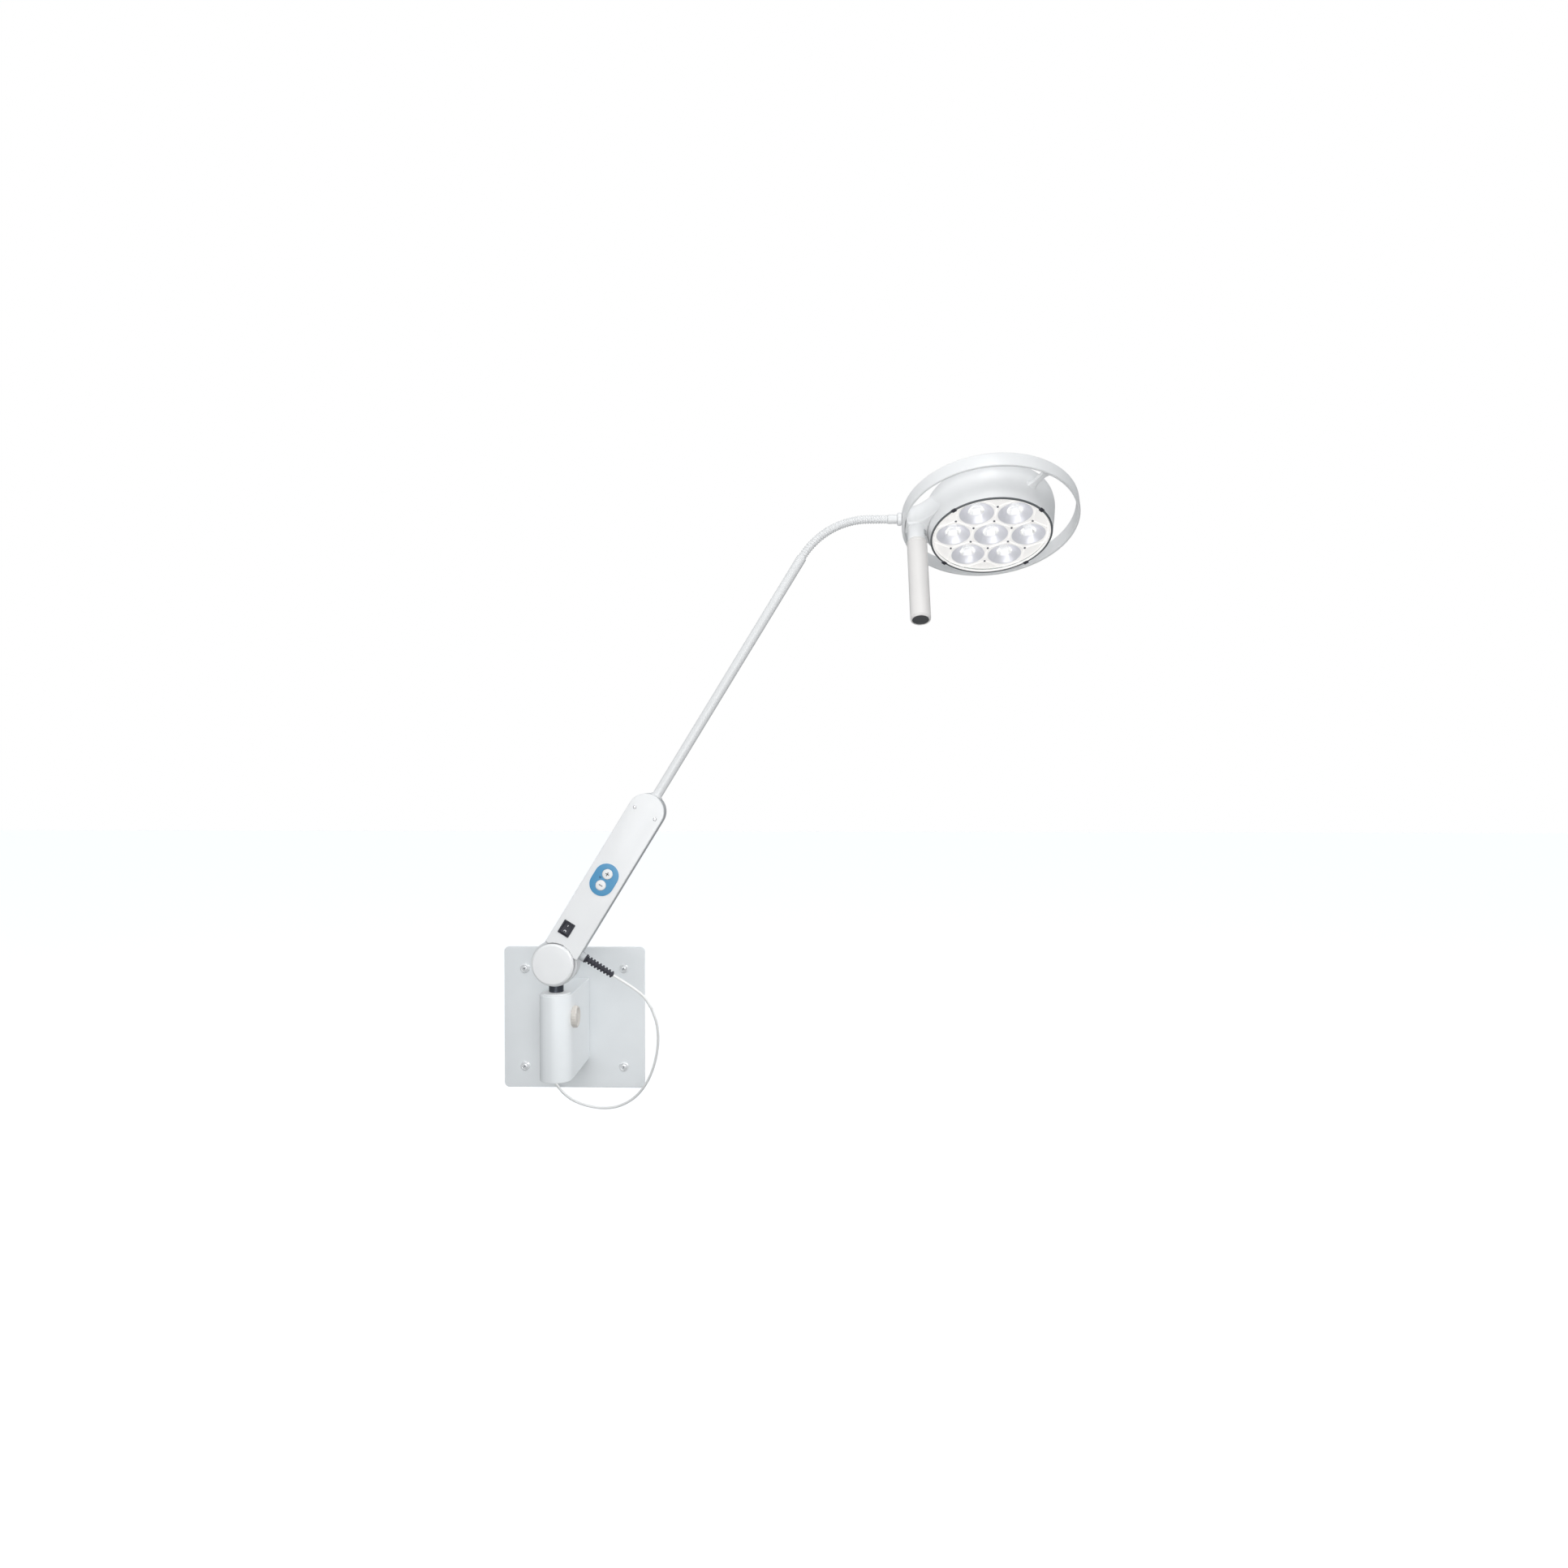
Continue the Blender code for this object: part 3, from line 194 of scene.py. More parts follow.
def grained(name, colour, roughness, metallic=0.0, grain=0.7 * MM, bump=0.12, mottle=0.03,
            stretch=(1, 1, 1), coat=0.0):
    """A Principled material whose colour drifts over the surface, with a fine grain in its
    roughness and its bump. grain is the size of the texture's bumps."""
    if name in bpy.data.materials:
        return bpy.data.materials[name]
    made = bpy.data.materials.new(name)
    made.use_nodes = True
    tree = made.node_tree
    shader = tree.nodes["Principled BSDF"]
    shader.inputs["Metallic"].default_value = metallic
    shader.inputs["Coat Weight"].default_value = coat
    shader.inputs["Coat Roughness"].default_value = COAT_ROUGHNESS
    place = tree.nodes.new("ShaderNodeTexCoord")
    scale = tree.nodes.new("ShaderNodeMapping")
    scale.inputs["Scale"].default_value = stretch
    tree.links.new(place.outputs["Object"], scale.inputs["Vector"])

    def noise(size, detail):
        texture = tree.nodes.new("ShaderNodeTexNoise")
        texture.inputs["Scale"].default_value = 1 / size
        texture.inputs["Detail"].default_value = detail
        tree.links.new(scale.outputs["Vector"], texture.inputs["Vector"])
        return texture.outputs["Fac"]

    drift = tree.nodes.new("ShaderNodeMix")
    drift.data_type = "RGBA"
    drift.inputs["A"].default_value = (*[c * (1 - mottle) for c in colour], 1)
    drift.inputs["B"].default_value = (*[min(1, c * (1 + mottle)) for c in colour], 1)
    tree.links.new(noise(DRIFT_SIZE, 2), drift.inputs["Factor"])
    tree.links.new(drift.outputs["Result"], shader.inputs["Base Color"])
    gloss = tree.nodes.new("ShaderNodeMapRange")
    gloss.inputs["To Min"].default_value = max(0, roughness - GLOSS_SPREAD)
    gloss.inputs["To Max"].default_value = roughness + GLOSS_SPREAD
    tree.links.new(noise(grain * 6, 3), gloss.inputs["Value"])
    tree.links.new(gloss.outputs["Result"], shader.inputs["Roughness"])
    relief = tree.nodes.new("ShaderNodeBump")
    relief.inputs["Strength"].default_value = bump
    relief.inputs["Distance"].default_value = grain * 0.4
    tree.links.new(noise(grain, 2), relief.inputs["Height"])
    tree.links.new(relief.outputs["Normal"], shader.inputs["Normal"])
    return made


def powder_grey():
    return grained("powder_grey", (0.80, 0.825, 0.84), 0.42, grain=0.9 * MM, bump=0.16)


def powder_white():
    return grained("powder_white", (0.84, 0.845, 0.85), 0.36, grain=1.1 * MM, bump=0.12)


def moulded_white():
    return grained("moulded_white", (0.86, 0.865, 0.87), 0.33, grain=0.45 * MM, bump=0.1, coat=0.15)


def drum_white():
    # A darker white than the other whites: painted shade, for the shade the drum lies in behind the pivot
    # cap.
    return grained("drum_white", (0.70, 0.71, 0.72), 0.38, grain=0.6 * MM, bump=0.1)


def tray_grey():
    return grained("tray_grey", (0.56, 0.575, 0.59), 0.4, grain=0.5 * MM, bump=0.12)


def handle_white():
    return grained("handle_white", (0.77, 0.75, 0.735), 0.42, grain=0.5 * MM, bump=0.14)


def stainless():
    return grained("stainless", (0.62, 0.62, 0.63), 0.28, 1.0, grain=0.6 * MM, bump=0.1, stretch=(1, 1, 6))


def blackened():
    return grained("blackened_steel", (0.10, 0.11, 0.13), 0.3, 1.0, grain=0.8 * MM, stretch=(1, 1, 9))


def cast_metal():
    return grained("cast_aluminium", (0.66, 0.66, 0.67), 0.4, 1.0, grain=0.9 * MM)


def bronze():
    return grained("bearing_bronze", (0.46, 0.30, 0.16), 0.38, 1.0, grain=0.7 * MM)


def black_plastic():
    return grained("black_plastic", (0.018, 0.020, 0.028), 0.46, grain=0.4 * MM, bump=0.2, mottle=0.15)


def dark_plastic():
    return grained("dark_plastic", (0.07, 0.073, 0.077), 0.4, grain=0.5 * MM, bump=0.12, mottle=0.08)


def film_blue():
    return grained("film_blue", (0.07, 0.30, 0.54), 0.35, grain=0.3 * MM, bump=0.08, mottle=0.05)


def ink():
    return grained("ink_blue", (0.02, 0.07, 0.16), 0.5, grain=0.3 * MM)


def sheath_white():
    return grained("sheath_white", (0.85, 0.85, 0.84), 0.45, grain=0.5 * MM, bump=0.1)


def bush_white():
    return grained("bush_white", (0.82, 0.83, 0.84), 0.38, grain=0.6 * MM, bump=0.08, stretch=(1, 1, 5))


def board_green():
    return grained("board_green", (0.02, 0.16, 0.07), 0.4, grain=1.6 * MM, mottle=0.2)


def latch_grey():
    return grained("latch_grey", (0.42, 0.43, 0.44), 0.4, grain=0.4 * MM)


def knob_beige():
    return grained("knob_beige", (0.62, 0.59, 0.55), 0.45, grain=0.5 * MM, bump=0.14)


def nickel():
    return grained("screw_nickel", (0.84, 0.85, 0.86), 0.34, 0.35, grain=0.6 * MM)


def bezel_grey():
    return grained("bezel_grey", (0.24, 0.25, 0.27), 0.35, grain=0.5 * MM)


def lit(made, colour, strength):
    """Gives a finish a glow of its own."""
    shader = made.node_tree.nodes["Principled BSDF"]
    shader.inputs["Emission Color"].default_value = (*colour, 1)
    shader.inputs["Emission Strength"].default_value = strength
    return made


def reflector():
    made = grained("reflector_silver", (0.70, 0.70, 0.74), 0.42, 0.6, grain=1.2 * MM, bump=0.15)
    # The glow is painted light: it makes the reflector look lit up by its LED, though it is no lamp.
    return lit(made, (0.93, 0.95, 1.0), 0.16)


def web_white_painted_glow():
    made = grained("optic_web_white", (0.80, 0.79, 0.78), 0.25, grain=1.5 * MM, bump=0.08, coat=0.4)
    # The glow is painted light: it makes the web, its ridges and the bezel rim look lit up by the LEDs
    # beside them, though they are no lamp.
    return lit(made, (1.0, 0.97, 0.94), 0.42)


def plain(name, colour, roughness, **values):
    """A Principled material with the same values all over, for glass and light."""
    if name in bpy.data.materials:
        return bpy.data.materials[name]
    made = bpy.data.materials.new(name)
    made.use_nodes = True
    shader = made.node_tree.nodes["Principled BSDF"]
    shader.inputs["Base Color"].default_value = (*colour, 1)
    shader.inputs["Roughness"].default_value = roughness
    for socket, value in values.items():
        shader.inputs[socket.replace("_", " ").title()].default_value = value
    return made


def clear_lens():
    made = plain("clear_lens", (0.97, 0.98, 0.98), 0.03, transmission_weight=0.85)
    # The glow is painted light: it makes the lens look lit from within by the LED under it, though it is no
    # lamp.
    return lit(made, (1.0, 0.97, 0.92), 0.12)


def front_glass():
    return plain("front_glass", (0.95, 0.96, 0.97), 0.04, alpha=0.08)


def led_glow():
    return lit(plain("led_glow", (1.0, 0.96, 0.88), 0.4), (1.0, 0.93, 0.80), 4)


def paint(obj, finish):
    obj.data.materials.clear()
    obj.data.materials.append(finish)


# --- mesh tools


def piece(name, bm, finish, body, place=Matrix.Identity(4), replaced=(), sharp=32):
    """Makes an object of a bmesh, in place, and rides it on its body."""
    bm.transform(place)
    bmesh.ops.recalc_face_normals(bm, faces=bm.faces)
    mesh = bpy.data.meshes.new(name)
    bm.to_mesh(mesh)
    bm.free()
    obj = bpy.data.objects.new(name, mesh)
    bpy.context.scene.collection.objects.link(obj)
    mesh.shade_smooth()
    mesh.set_sharp_from_angle(angle=math.radians(sharp))
    paint(obj, finish)
    if body:
        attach(obj, body)
    if replaced:
        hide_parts(*replaced)
    return obj


def softened(points, closed=False, steps=5):
    """A flat line whose points may carry a radius, with those corners rounded off."""
    made, count = [], len(points)
    for i, point in enumerate(points):
        here = Vector(point[:2])
        radius = point[2] if len(point) > 2 else 0
        if not radius or (not closed and i in (0, count - 1)):
            made.append(here)
            continue
        to_last = Vector(points[i - 1][:2]) - here
        to_next = Vector(points[(i + 1) % count][:2]) - here
        half = to_last.angle(to_next) / 2
        reach = min(radius / math.tan(half), to_last.length * 0.49, to_next.length * 0.49)
        start = here + to_last.normalized() * reach
        end = here + to_next.normalized() * reach
        for k in range(steps + 1):
            t = k / steps
            made.append(start * (1 - t) ** 2 + here * (2 * t * (1 - t)) + end * t**2)
    return made


def arc(centre, radius, start_deg, end_deg, steps):
    points = []
    for i in range(steps + 1):
        angle = math.radians(start_deg + (end_deg - start_deg) * i / steps)
        points.append((centre[0] + radius * math.cos(angle), centre[1] + radius * math.sin(angle)))
    return points


def rounded_box(half_x, half_y, radius, steps=8):
    points = []
    for i, (sx, sy) in enumerate([(1, 1), (-1, 1), (-1, -1), (1, -1)]):
        centre = (sx * (half_x - radius), sy * (half_y - radius))
        points += arc(centre, radius, 90 * i, 90 * i + 90, steps)
    return points


def stadium(half_width, half_length):
    straight = half_length - half_width
    return [*arc((0, straight), half_width, 0, 180, 24), *arc((0, -straight), half_width, 180, 360, 24)]


def turned(profile, segments=96, closed=False):
    """A bmesh of a (radius, height) profile turned about Z. Points on the axis become one."""
    bm = bmesh.new()
    rings = []
    for r, z in profile:
        if r < 1e-7:
            rings.append([bm.verts.new((0, 0, z))])
            continue
        ring = []
        for k in range(segments):
            angle = 2 * math.pi * k / segments
            ring.append(bm.verts.new((r * math.cos(angle), r * math.sin(angle), z)))
        rings.append(ring)
    pairs = list(zip(rings, rings[1:]))
    if closed:
        pairs.append((rings[-1], rings[0]))
    for low, high in pairs:
        for k in range(segments):
            n = (k + 1) % segments
            corners = [low[k % len(low)], low[n % len(low)], high[n % len(high)], high[k % len(high)]]
            corners = list(dict.fromkeys(corners))
            if len(corners) > 2:
                bm.faces.new(corners)
    return bm


def lathe(profile, segments, closed=False, steps=5):
    """A bmesh turned from a profile in millimetres whose points may carry a corner radius."""
    return turned([p * MM for p in softened(profile, closed, steps)], segments, closed)


def joined(bm, rings):
    """Faces between each ring of points and the next, and one over each end."""
    for low, high in zip(rings, rings[1:]):
        for k in range(len(low)):
            n = (k + 1) % len(low)
            bm.faces.new((low[k], low[n], high[n], high[k]))
    bm.faces.new(rings[0][::-1])
    bm.faces.new(rings[-1])
    return bm


def prism(outline, low, high, low_edge=0.0, high_edge=0.0, steps=5):
    """A bmesh of a flat outline between two heights. outline(inset) gives its points, always as
    many, so that the edges at both ends can be rounded by an inset."""
    levels = [(low, 0.0)]
    turns = [math.pi / 2 * k / steps for k in range(steps + 1)]
    if low_edge:
        levels = [(low + low_edge * (1 - math.cos(a)), low_edge * (1 - math.sin(a))) for a in turns]
    if high_edge:
        levels += [(high - high_edge * (1 - math.sin(a)), high_edge * (1 - math.cos(a))) for a in turns]
    else:
        levels.append((high, 0.0))
    bm = bmesh.new()
    return joined(bm, [[bm.verts.new((x, y, z)) for x, y in outline(inset)] for z, inset in levels])


def rod(radius, low, high, at=(0, 0), sides=48):
    """A bmesh cylinder along Z, for cutting and for small pieces."""
    bm = turned([(0, low), (radius, low), (radius, high), (0, high)], sides)
    bmesh.ops.translate(bm, vec=(at[0], at[1], 0), verts=bm.verts)
    return bm


def block(size, at, edge=0.0, rounds=3):
    """A bmesh of a box with its edges rounded."""
    bm = bmesh.new()
    bmesh.ops.create_cube(bm, size=1)
    bmesh.ops.scale(bm, vec=size, verts=bm.verts)
    bmesh.ops.translate(bm, vec=at, verts=bm.verts)
    if edge:
        bmesh.ops.bevel(bm, geom=bm.edges[:], offset=edge, segments=rounds, profile=0.5, affect="EDGES")
    return bm


def swept(path, radius, sides):
    """A bmesh tube along a path. radius is a number, or a function of the distance along the
    path and the angle round it. Its rings keep one direction, so they don't twist."""
    bm = bmesh.new()
    count = len(path)
    along, side, rings = 0.0, None, []
    for i, point in enumerate(path):
        ahead = (path[min(i + 1, count - 1)] - path[max(i - 1, 0)]).normalized()
        if side is None:
            side = ahead.orthogonal()
        side = (side - ahead * side.dot(ahead)).normalized()
        up = ahead.cross(side)
        if i:
            along += (point - path[i - 1]).length
        ring = []
        for k in range(sides):
            angle = 2 * math.pi * k / sides
            r = radius(along, angle) if callable(radius) else radius
            ring.append(bm.verts.new(point + (side * math.cos(angle) + up * math.sin(angle)) * r))
        rings.append(ring)
    return joined(bm, rings)


def merged(*parts):
    """One bmesh with the faces of several, each freed."""
    whole = bmesh.new()
    for part in parts:
        mesh = bpy.data.meshes.new("part")
        part.to_mesh(mesh)
        part.free()
        whole.from_mesh(mesh)
        bpy.data.meshes.remove(mesh)
    return whole


def carved(solid, cutters, operation="DIFFERENCE"):
    """A bmesh after Boolean steps with others."""
    made = []
    for bm in (solid, *cutters):
        bmesh.ops.recalc_face_normals(bm, faces=bm.faces)
        mesh = bpy.data.meshes.new("carved")
        bm.to_mesh(mesh)
        bm.free()
        obj = bpy.data.objects.new("carved", mesh)
        bpy.context.scene.collection.objects.link(obj)
        made.append(obj)
    for cutter in made[1:]:
        step = made[0].modifiers.new("step", "BOOLEAN")
        step.operation = operation
        step.solver = "EXACT"
        step.object = cutter
    bpy.context.view_layer.update()
    mesh = bpy.data.meshes.new_from_object(made[0].evaluated_get(bpy.context.evaluated_depsgraph_get()))
    result = bmesh.new()
    result.from_mesh(mesh)
    bpy.data.meshes.remove(mesh)
    for obj in made:
        bpy.data.objects.remove(obj, do_unlink=True)
    return result


def smooth_route(points, step):
    """Evenly spaced points on the Catmull-Rom curve through a route's own points."""
    route = [Vector(p) for p in points]
    route = [2 * route[0] - route[1], *route, 2 * route[-1] - route[-2]]
    dense = []
    for a, b, c, d in zip(route, route[1:], route[2:], route[3:]):
        for i in range(12):
            t = i / 12
            straight = 2 * b + (c - a) * t
            bent = (2 * a - 5 * b + 4 * c - d) * t**2 + (3 * b - a - 3 * c + d) * t**3
            dense.append((straight + bent) / 2)
    dense.append(route[-2])
    along = [0.0]
    for a, b in zip(dense, dense[1:]):
        along.append(along[-1] + (b - a).length)
    count = max(2, round(along[-1] / step))
    found, k = [], 0
    for i in range(count + 1):
        want = along[-1] * i / count
        while k < len(along) - 2 and along[k + 1] < want:
            k += 1
        share = (want - along[k]) / (along[k + 1] - along[k])
        found.append(dense[k].lerp(dense[k + 1], share))
    return found


# --- supply lead

LEAD_R = 2.25 * MM
LEAD_STEP = 4 * MM
LEAD_UPPER = [
    (0.0965, -0.145, 0.1021),
    (0.113, -0.145, 0.092),
    (0.130, -0.144, 0.0805),
    (0.146, -0.140, 0.066),
    (0.157, -0.1335, 0.046),
]
LEAD_LOWER = [
    (0.1572, -0.1333, 0.0456),
    (0.164, -0.124, 0.020),
    (0.165, -0.112, -0.010),
    (0.160, -0.099, -0.042),
    (0.149, -0.084, -0.076),
    (0.132, -0.068, -0.107),
    (0.110, -0.053, -0.131),
    (0.082, -0.041, -0.147),
    (0.052, -0.033, -0.152),
    (0.022, -0.029, -0.148),
    (-0.004, -0.027, -0.137),
    (-0.024, -0.026, -0.118),
    (-0.037, -0.0235, -0.095),
    (-0.044, -0.0175, -0.070),
]
HANK_PITCH = 4.6 * MM
HANK_TURNS = 3


def hank_route():
    """Long turns side by side in the hank's box, then over into the connector's boot."""
    low, high = BOX["lead_hank"]
    plug_low, plug_high = BOX["lead_connector"]
    centre = (low + high) / 2
    boot = Vector(((plug_low.x + plug_high.x) / 2, (plug_low.y + plug_high.y) / 2, plug_high.z))
    radius = (high.y - low.y) / 2 - LEAD_R - 0.1 * MM
    straight = (high.z - low.z) / 2 - radius - LEAD_R - 0.1 * MM
    rise = [(radius, -straight + 2 * straight * i / 5) for i in range(5)]
    over = arc((0, straight), radius, 0, 180, 8)
    fall = [(-y, -z) for y, z in rise[1:]]
    under = arc((0, -straight), radius, 180, 360, 8)
    turn = [*rise, *over, *fall, *under[:-1]]
    points = []
    for i in range(HANK_TURNS * len(turn)):
        y, z = turn[i % len(turn)]
        x = HANK_PITCH * (i / len(turn) - HANK_TURNS / 2)
        points.append(centre + Vector((x, y, z)))
    lane = centre.x + HANK_PITCH * HANK_TURNS / 2
    start_z, top_z = centre.z - straight, boot.z + 6 * MM
    wide = (centre.y + radius - boot.y) / 2
    points += [Vector((lane, centre.y + radius, start_z + (top_z - start_z) * i / 4)) for i in range(4)]
    for i, (y, z) in enumerate(arc((boot.y + wide, top_z), wide, 0, 180, 8)):
        points.append(Vector((lane + (boot.x - lane) * i / 8, y, z)))
    return [*points, boot]


def lead():
    """The white supply lead, in two cords that meet under the arm, and its far end is tied up beside the
    post."""
    upper = smooth_route(LEAD_UPPER, LEAD_STEP)
    obj = piece("lead_upper_run", swept(upper, LEAD_R, 16), sheath_white(), None,
                replaced=["lead_upper"])
    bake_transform(obj)
    lower = smooth_route([*LEAD_LOWER, *hank_route()], LEAD_STEP)
    obj = piece("lead_lower_run", swept(lower, LEAD_R, 16), sheath_white(), None,
                replaced=["lead_lower", "lead_hank"])
    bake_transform(obj)
    pieces = [connector(), tie()]


def connector():
    """A round low-voltage connector with a ribbed grip and a bend relief."""
    low, high = BOX["lead_connector"]
    at = Vector(((low.x + high.x) / 2, (low.y + high.y) / 2, low.z))
    profile = [(0, 0), (4, 0, 0.4), (6, 4, 0.8), (6, 8)]
    for k in range(7):
        z = 8 + 2.4 * k
        profile += [(6, z + 1.5), (5.4, z + 1.8), (5.4, z + 2.2), (6, z + 2.4)]
    profile += [(6, 26, 1), (5.5, 30, 1), (3, 31, 0.6), (3, 41.8, 0.8), (0, 41.8)]
    return piece("connector_shell", lathe(profile, 40), black_plastic(), "bracket",
                 Matrix.Translation(at), ["lead_connector"])


def tie():
    """The hook-and-loop band and the pad it is fixed to the plate with."""
    low, high = BOX["hank_tie"]
    size = high - low
    centre = (low + high) / 2
    band, pad_y, corner = 1.2 * MM, 3.7 * MM, 5 * MM
    half_x, half_y = size.x / 2, (size.y - pad_y) / 2

    def outer(inset):
        return rounded_box(half_x - inset, half_y - inset, corner - inset)

    def inner(inset):
        return rounded_box(half_x - band + inset, half_y - band + inset, corner - band + inset)

    half_z = size.z / 2
    ring = carved(prism(outer, -half_z, half_z, 0.5 * MM, 0.5 * MM), [prism(inner, -size.z, size.z)])
    bmesh.ops.translate(ring, vec=(0, -pad_y / 2, 0), verts=ring.verts)
    pad = block((18 * MM, pad_y, size.z), (0, size.y / 2 - pad_y / 2, 0), 0.8 * MM)
    return piece("hank_band", merged(ring, pad), black_plastic(), "bracket",
                 Matrix.Translation(centre), ["hank_tie"])


# --- wall bracket

POST_R = 27 * MM
WALL_SCREW_CUP = [(5.2, 0), (8.5, 0, 0.2), (8.5, 0.7, 0.4), (7.2, 2.3, 1.2), (5.9, 2.9, 0.5), (5.2, 2.3)]
WALL_SCREW_HEAD = [(0, 0.9), (3.4, 0.9), (5, 2.5, 0.3), (4.6, 3.2, 1.2), (2.4, 3.9, 2), (0, 4)]


def at_front(x, z, y=0.0):
    """Turns a bmesh's own +Z to face away from the wall, at a place on the wall."""
    return Matrix.Translation((x, y, z)) @ FRONT


def wall_plate():
    low, high = BOX["wall_plate"]
    half, corner = high.x, 8 * MM

    def outline(inset):
        return rounded_box(half - inset, half - inset, corner - inset)

    holes = []
    for name in ("wall_screw_1", "wall_screw_2", "wall_screw_3", "wall_screw_4"):
        spot = (BOX[name][0] + BOX[name][1]) / 2
        holes.append(rod(3.3 * MM, -1 * MM, 9 * MM, (spot.x, spot.z), 32))
    bm = carved(prism(outline, 0, -low.y, 0.3 * MM, 1.1 * MM), holes)
    piece("plate_panel", bm, powder_grey(), "bracket", FRONT, ["wall_plate"])


def cross_recess(depth_from, size=2.7):
    """Two tapered bars and four narrow ones, for cutting a screw's drive."""
    parts = []
    for turn in (0, 45, 90, 135):
        wide = 1.05 if turn % 90 == 0 else 0.35
        long = 2 * size if turn % 90 == 0 else 1.6 * size
        bm = block((long * MM, wide * MM, 4 * MM), (0, 0, depth_from * MM + 2 * MM))
        bm.transform(Matrix.Rotation(math.radians(turn), 4, "Z"))
        parts.append(bm)
    return parts


def wall_screws():
    front = -BOX["wall_plate"][0].y + GAP
    for i, turn in enumerate((20, 66, 41, 8), 1):
        name = f"wall_screw_{i}"
        spot = (BOX[name][0] + BOX[name][1]) / 2
        place = at_front(spot.x, spot.z, -front) @ Matrix.Rotation(math.radians(turn), 4, "Z")
        cup = lathe(WALL_SCREW_CUP, 48, True)
        piece(f"{name}_cup", cup, nickel(), "bracket", place)
        head = carved(lathe(WALL_SCREW_HEAD, 48), cross_recess(1.7))
        shank = rod(3 * MM, -4.8 * MM, 0.9 * MM, sides=24)
        piece(f"{name}_head", merged(head, shank), nickel(), "bracket", place, [name])
        # Thin black bars on the floor of the cross recess: painted shade, standing in for the dark inside
        # the recess.
        bars = [block((5.3 * MM, 1.0 * MM, 0.1 * MM), (0, 0, 1.8 * MM)),
                block((1.0 * MM, 5.3 * MM, 0.1 * MM), (0, 0, 1.83 * MM))]
        piece(f"{name}_painted_shade", merged(*bars), blackened(), "bracket", place)


def post_outline(inset):
    half = POST_R - inset
    back = BOX["post_shell"][1].y
    return [*arc((0, SWIVEL.y), half, 360, 180, 48), (-half, back), (half, back)][::-1]


def post():
    low, high = BOX["post_shell"]
    bush_hole = rod(17.3 * MM, high.z - 12 * MM, high.z + 5 * MM, (0, SWIVEL.y), 64)
    clamp_hole = rod(5.3 * MM, 10 * MM, 40 * MM, sides=32)
    clamp = (BOX["clamp_screw"][0] + BOX["clamp_screw"][1]) / 2
    clamp_hole.transform(Matrix.Translation((0, clamp.y, clamp.z)) @ RIGHT)
    solid = prism(post_outline, low.z, high.z, 1.2 * MM, 1.4 * MM)
    piece("post_body", carved(solid, [bush_hole, clamp_hole]), powder_grey(), "bracket",
          replaced=["post_shell"])
    flange = high.z / MM
    profile = [(10.3, flange - 20), (17, flange - 20), (17, flange + 0.3), (24, flange + 0.3, 0.2),
               (24, flange + 1.4, 0.6), (22.6, flange + 2.3, 0.6), (15, flange + 3.3, 1.2),
               (10.3, flange + 3.3, 0.3)]
    piece("bush_flange", lathe(profile, 80, True), bush_white(), "bracket",
          Matrix.Translation((0, SWIVEL.y, 0)), ["upper_bush"])


def clamp_knob():
    """A round hand knob with a scalloped rim and a cap over its screw."""
    low, high = BOX["clamp_knob"]
    radius = (high.z - low.z) / 2
    profile = [(0, 8.4), (5, 8.4, 1), (6.2, 7.4, 0.8), (12.5, 7.4, 1.5), (14.5, 9, 0.8), (16.4, 9, 1),
               (18, 7.2, 1), (18, 1.8, 1), (16, 0, 0.8), (4.3, 0), (4.3, 3), (0, 3)]
    bm = lathe(profile, 192)
    scallops, depth, from_r = 24, 0.55 * MM, 15.8 * MM
    for vert in bm.verts:
        r = math.hypot(vert.co.x, vert.co.y)
        if r > from_r:
            wave = 0.5 - 0.5 * math.cos(scallops * math.atan2(vert.co.y, vert.co.x))
            scale = 1 - depth * wave**2 * (r - from_r) / (radius - from_r) / r
            vert.co.x *= scale
            vert.co.y *= scale
    place = Matrix.Translation((low.x, (low.y + high.y) / 2, (low.z + high.z) / 2)) @ RIGHT
    piece("clamp_handwheel", bm, knob_beige(), "clamp", place, ["clamp_knob"])


# --- swivel and tilt joint


def swivel():
    axis = Matrix.Translation((0, SWIVEL.y, 0))
    top = BOX["swivel_pin"][1].z / MM
    pin = [(0, top), (12, top, 0.3), (12, 77.4, 0.2), (11.6, 77.1), (11.6, 76.5), (12, 76.2, 0.2),
           (12, 73.6, 0.5), (10, 73.6, 0.4), (10, -48, 0.8), (0, -48)]
    piece("swivel_spindle", lathe(pin, 72), blackened(), "swivel", axis,
          ["swivel_pin"])
    low, high = BOX["pivot_drum"]
    front, back, radius = -low.y / MM, -high.y / MM, (high.x - low.x) / 2 / MM
    drum = lathe([(6.3, front), (radius, front, 1.6), (radius, back, 2.4), (6.3, back)], 128, True)
    socket = rod(12.3 * MM, 20 * MM, 50 * MM, sides=64)
    socket.transform(Matrix.Translation((0, 0, -SWIVEL.y)) @ FRONT)
    place = at_front(TILT.x, TILT.z)
    piece("tilt_drum", carved(drum, [socket]), drum_white(), "swivel", place, ["pivot_drum"])
    rear_low, rear_high = BOX["rear_cap"]
    outer, inner = -rear_low.y / MM, -rear_high.y / MM
    cap = [(0, inner + 2.5), (18, inner + 2.5), (18, outer, 0.1), (21, outer, 0.3), (21, inner + 1.8, 1.2),
           (18.6, inner, 1.6), (8, inner + 0.3, 1), (7, inner + 0.9, 0.4), (0, inner + 0.9)]
    piece("rear_cover_cap", lathe(cap, 96), moulded_white(), "swivel",
          place, ["rear_cap"])


def pivot_cap():
    low, high = BOX["pivot_cap"]
    front, back = -low.y / MM, -high.y / MM
    profile = [(0, front), (20, front - 0.06, 8), (31.4, front - 0.5, 1.6), (34.5, front - 3.1, 2.2),
               (34.5, back, 0.4), (12, back), (12, back + 4), (0, back + 4)]
    piece("tilt_cap", lathe(profile, 128, steps=8), moulded_white(), "arm",
          at_front(TILT.x, TILT.z), ["pivot_cap"])


# --- arm

